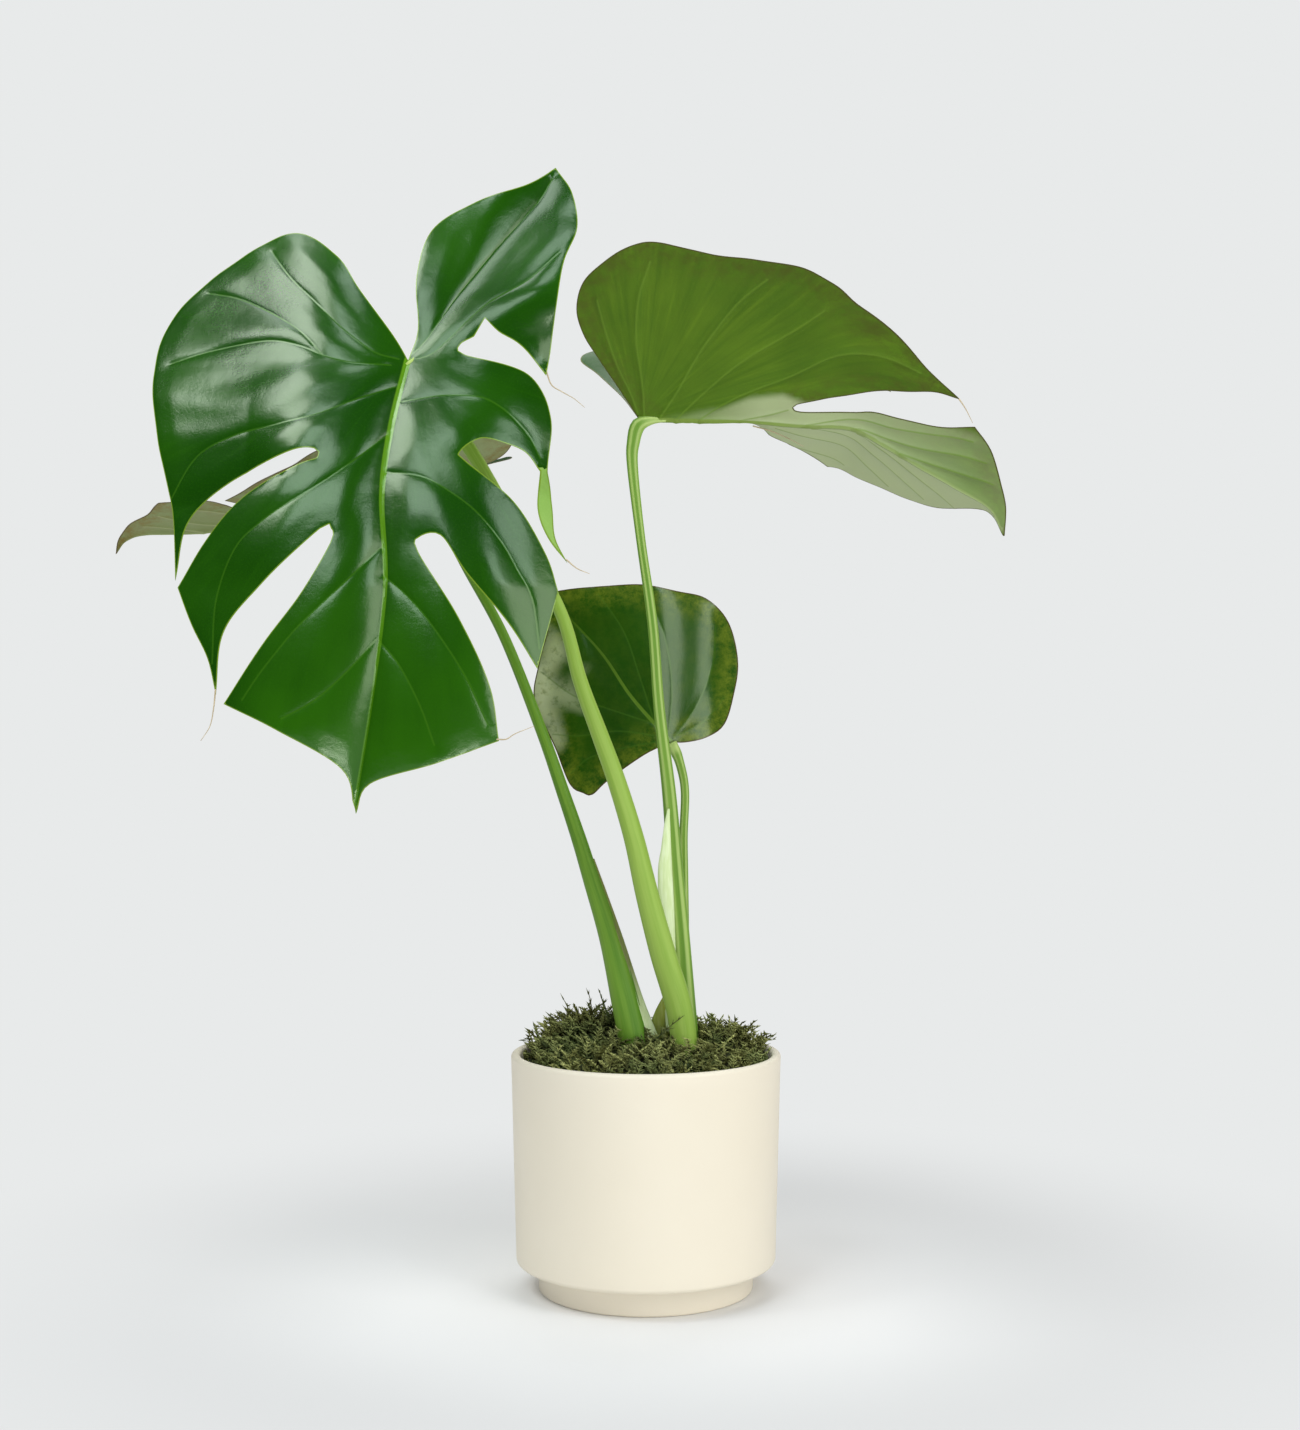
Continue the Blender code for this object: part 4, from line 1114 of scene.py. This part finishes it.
def add_leaves():
    margin = colour(108, 136, 36)
    front_upper = leaf_face("front_leaf_upper", colour(12, 58, 0), colour(38, 92, 2),
                            colour(60, 108, 18), colour(86, 136, 18), margin, 0.215, 0.2,
                            margin_mm=0.7, vein_amount=0.38)
    front_under = leaf_face("front_leaf_under", colour(120, 158, 70), colour(146, 180, 92),
                            colour(168, 190, 120), colour(176, 198, 120), margin, 0.5)
    add_leaf("front_leaf", FRONT_EDGE, FRONT_JOINT, FRONT_MIDRIB, FRONT_VEINS,
             place_front, front_upper, front_under, (0, -1, 0), extra=front_painted_light,
             turned_over=in_tongue)
    # The upper face's pale colour is a painted highlight near the left edge.
    small_upper = leaf_face("small_leaf_upper", colour(18, 56, 0), colour(36, 82, 2),
                            colour(62, 100, 24), colour(84, 116, 30), colour(72, 62, 24), 0.26, 0.2,
                            margin_mm=1.0, mottle=colour(100, 116, 26), pale=colour(200, 208, 166),
                            vein_amount=0.4, painted_light_min_share=0.45)
    small_under = leaf_face("small_leaf_under", colour(104, 130, 60), colour(128, 154, 80),
                            colour(150, 172, 100), colour(160, 182, 110), colour(80, 60, 30), 0.5)
    add_leaf("small_leaf", SMALL_EDGE, SMALL_JOINT, SMALL_MIDRIB, SMALL_VEINS,
             place_small, small_upper, small_under, (0, -1, 0), 0.6, (1.6, 0.6), small_painted_highlight)
    # The underside's pale colour is a painted reflection of light from the floor.
    right_under = leaf_face("right_leaf_under", colour(66, 104, 20), colour(112, 146, 34),
                            colour(112, 146, 46), colour(128, 152, 66), colour(84, 82, 36), 0.5,
                            vein_mm=0.8, vein_amount=0.5, mottle=colour(86, 98, 30),
                            pale=colour(204, 216, 168), glow=colour(140, 190, 20), streak=0.42)
    right_upper = leaf_face("right_leaf_upper", colour(20, 66, 4), colour(34, 86, 8),
                            colour(80, 126, 40), colour(104, 150, 34), colour(90, 96, 40), 0.44)
    right_place = tilted_blade(RIGHT_MIDRIB, RIGHT_NEAR_TILT, right_far_tilt, 5)
    add_leaf("right_leaf", RIGHT_EDGE, (0, 0),
             [(0, 0), (80, 0), (160, 0), (240, 0)], RIGHT_VEINS, right_place, right_upper,
             right_under, (0, 0, 1), 1.0, (2.2, 0.9), right_painted_reflection)
    left_under = leaf_face("left_leaf_under", colour(116, 130, 80), colour(146, 156, 108),
                           colour(160, 168, 120), colour(146, 160, 96), colour(90, 76, 40), 0.5,
                           mottle=colour(122, 104, 46), vein_mm=0.9)
    left_upper = leaf_face("left_leaf_upper", colour(20, 64, 5), colour(34, 84, 8),
                           colour(80, 126, 40), colour(104, 150, 34), colour(90, 80, 40), 0.28, 0.3)
    add_leaf("left_leaf", LEFT_EDGE, (0, 0),
             [(0, 0), (70, 0), (140, 0), (203, 0)],
             LEFT_VEINS, tilted_blade(LEFT_MIDRIB, LEFT_NEAR_TILT, left_far_tilt, 2),
             left_upper, left_under, (0, 0, 1), 0.8, (2.2, 0.8))
    add_threads(right_place)


def add_stalks():
    bright = stalk_material("stalk_bright_skin", colour(132, 166, 60), colour(150, 180, 80),
                            colour(178, 200, 112))
    dark = stalk_material("stalk_dark_skin", colour(82, 128, 28), colour(112, 152, 48),
                          colour(148, 176, 84))
    lined = stalk_material("stalk_lined_skin", colour(92, 134, 36), colour(132, 168, 66),
                           colour(186, 206, 126), 0.5)
    add_stalk("front_stalk", FRONT_STALK, bright, 0.03)
    add_stalk("left_stalk", LEFT_STALK, dark, 0.06)
    add_stalk("right_stalk", RIGHT_STALK, lined, 0.16)
    add_stalk("small_stalk", SMALL_STALK, lined, 0.08)
    skin = sheath_material("sheath_skin", colour(208, 226, 168), colour(222, 236, 192))
    stub_skin = sheath_material("stub_sheath_skin", colour(152, 166, 66), colour(176, 188, 96))
    add_sheath("right_sheath", RIGHT_SHEATH, skin, ([150, 282], [0.12, 0.0]))
    add_sheath("left_sheath", LEFT_SHEATH, skin, ([150, 172, 190, 252], [0.1, 0.3, 0.85, 1.0]))
    add_sheath("stub_sheath", STUB_SHEATH, stub_skin, ([140, 173], [0.5, 0.15]))


def dress_hidden_nodes():
    """The soil and the crown keep their shapes from the frame and get their own surfaces."""
    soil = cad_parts["potting_soil"]
    soil.data.materials.clear()
    soil.data.materials.append(soil_material())
    kit = Nodes("crown_bark", 0.7)
    place = kit.place()
    rings = kit.noise(place, 120.0, 4.0)
    body = kit.mix(kit.band(rings, 0.4, 0.6), colour(110, 100, 58), colour(90, 118, 50))
    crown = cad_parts["crown"]
    crown.data.materials.clear()
    crown.data.materials.append(kit.finish(body, kit.bump(rings, 0.6, 0.002)))


# ---------------------------------------------------------------- studio

BACKDROP = colour(232, 234, 234)
# Area lights: name, place, width, height, watts, tint. The three windows are placed where the front
# leaf's highlights reflect from.
LIGHTS = [
    ("key", (1.35, -1.15, 1.0), 1.0, 1.1, 15.2, (1.0, 0.985, 0.96)),
    ("left_softbox", (-0.98, -0.38, 1.54), 0.54, 0.52, 8.0, (0.97, 0.99, 1.0)),
    ("front_window", (-0.54, -0.87, 1.39), 0.54, 0.48, 5.2, (0.84, 0.93, 1.0)),
    ("right_window", (0.565, -0.867, 1.25), 0.34, 0.34, 2.0, (0.84, 0.93, 1.0)),
    ("top_window", (-0.2, -0.36, 1.75), 0.25, 0.25, 1.2, (0.84, 0.93, 1.0)),
    ("overhead", (-0.6, 0.15, 1.6), 0.5, 0.5, 3.0, (0.9, 0.96, 1.0)),
    ("low_fill", (0.25, -1.5, 0.06), 0.9, 0.1, 4.5, (1.0, 0.99, 0.97)),
    ("top_back", (0.1, 0.9, 1.7), 1.2, 0.8, 9, (1.0, 1.0, 1.0)),
]
CAMERA_PLACE = (0.0024, -1.2, 0.338)
CAMERA_LENS = 51.05
LIGHTS_AIM = (0, 0, 0.38)
# The floor is painted lighter near the pot: painted light that thins the pot's shadow.
FLOOR_PAINTED_LIGHT_NEAR = (0.79, 0.785, 0.78, 1)
FLOOR_FAR = (0.61, 0.605, 0.60, 1)
WORLD_LIGHT = 0.44
WORLD_IN_GLOSS = 0.02  # keeps the leaves' reflections dark


def add_studio():
    mesh = bpy.data.meshes.new("studio_floor")
    size = 12.0
    mesh.from_pydata([(-size, -size, 0), (size, -size, 0), (size, size, 0), (-size, size, 0)], [],
                     [(0, 1, 2, 3)])
    floor = bpy.data.objects.new("studio_floor", mesh)
    bpy.context.collection.objects.link(floor)
    kit = Nodes("studio_floor", 0.9, specular=0.0)
    place = kit.place()
    away = kit.add("ShaderNodeVectorMath", {"operation": "LENGTH"})
    kit.set(away.inputs[0], place)
    # Painted light: the floor's colour is lighter near the pot and plainer further out.
    kit.set(kit.shader.inputs["Base Color"],
            kit.mix(kit.band(away.outputs["Value"], 0.08, 0.3), FLOOR_PAINTED_LIGHT_NEAR, FLOOR_FAR))
    plain = kit.add("ShaderNodeEmission", None, Color=BACKDROP, Strength=1.0)
    blend = kit.add("ShaderNodeMixShader", None, Fac=kit.band(away.outputs["Value"], 0.09, 0.52))
    kit.tree.links.new(kit.shader.outputs[0], blend.inputs[1])
    kit.tree.links.new(plain.outputs[0], blend.inputs[2])
    kit.tree.links.new(blend.outputs[0], kit.tree.nodes["Material Output"].inputs["Surface"])
    mesh.materials.append(kit.material)

    world = bpy.data.worlds.new("studio")
    bpy.context.scene.world = world
    world.use_nodes = True
    tree = world.node_tree
    seen = tree.nodes["Background"]
    seen.inputs["Color"].default_value = BACKDROP
    dim = tree.nodes.new("ShaderNodeBackground")
    dim.inputs["Color"].default_value = (0.95, 0.98, 1.0, 1)
    path = tree.nodes.new("ShaderNodeLightPath")
    strength = tree.nodes.new("ShaderNodeMapRange")
    tree.links.new(path.outputs["Is Glossy Ray"], strength.inputs[0])
    strength.inputs[3].default_value = WORLD_LIGHT
    strength.inputs[4].default_value = WORLD_IN_GLOSS
    tree.links.new(strength.outputs[0], dim.inputs["Strength"])
    pick = tree.nodes.new("ShaderNodeMixShader")
    tree.links.new(path.outputs["Is Camera Ray"], pick.inputs[0])
    tree.links.new(dim.outputs[0], pick.inputs[1])
    tree.links.new(seen.outputs[0], pick.inputs[2])
    tree.links.new(pick.outputs[0], tree.nodes["World Output"].inputs["Surface"])

    for light in LIGHTS:
        add_light(*light)

    camera_data = bpy.data.cameras.new("camera")
    camera_data.lens = CAMERA_LENS
    camera = bpy.data.objects.new("camera", camera_data)
    camera.location = CAMERA_PLACE
    camera.rotation_euler = (math.pi / 2, 0, 0)
    bpy.context.collection.objects.link(camera)
    bpy.context.scene.camera = camera
    bpy.context.scene.view_settings.view_transform = "Standard"


def add_light(name, place, width, height, power, tint):
    data = bpy.data.lights.new(name, "AREA")
    data.shape = "RECTANGLE"
    data.size = width
    data.size_y = height
    data.energy = power
    data.color = tint
    light = bpy.data.objects.new(name, data)
    light.location = place
    aim = Vector(LIGHTS_AIM) - Vector(place)
    light.rotation_euler = aim.to_track_quat("-Z", "Y").to_euler()
    bpy.context.collection.objects.link(light)


add_studio()
add_pot()
add_moss()
add_stalks()
add_leaves()
dress_hidden_nodes()
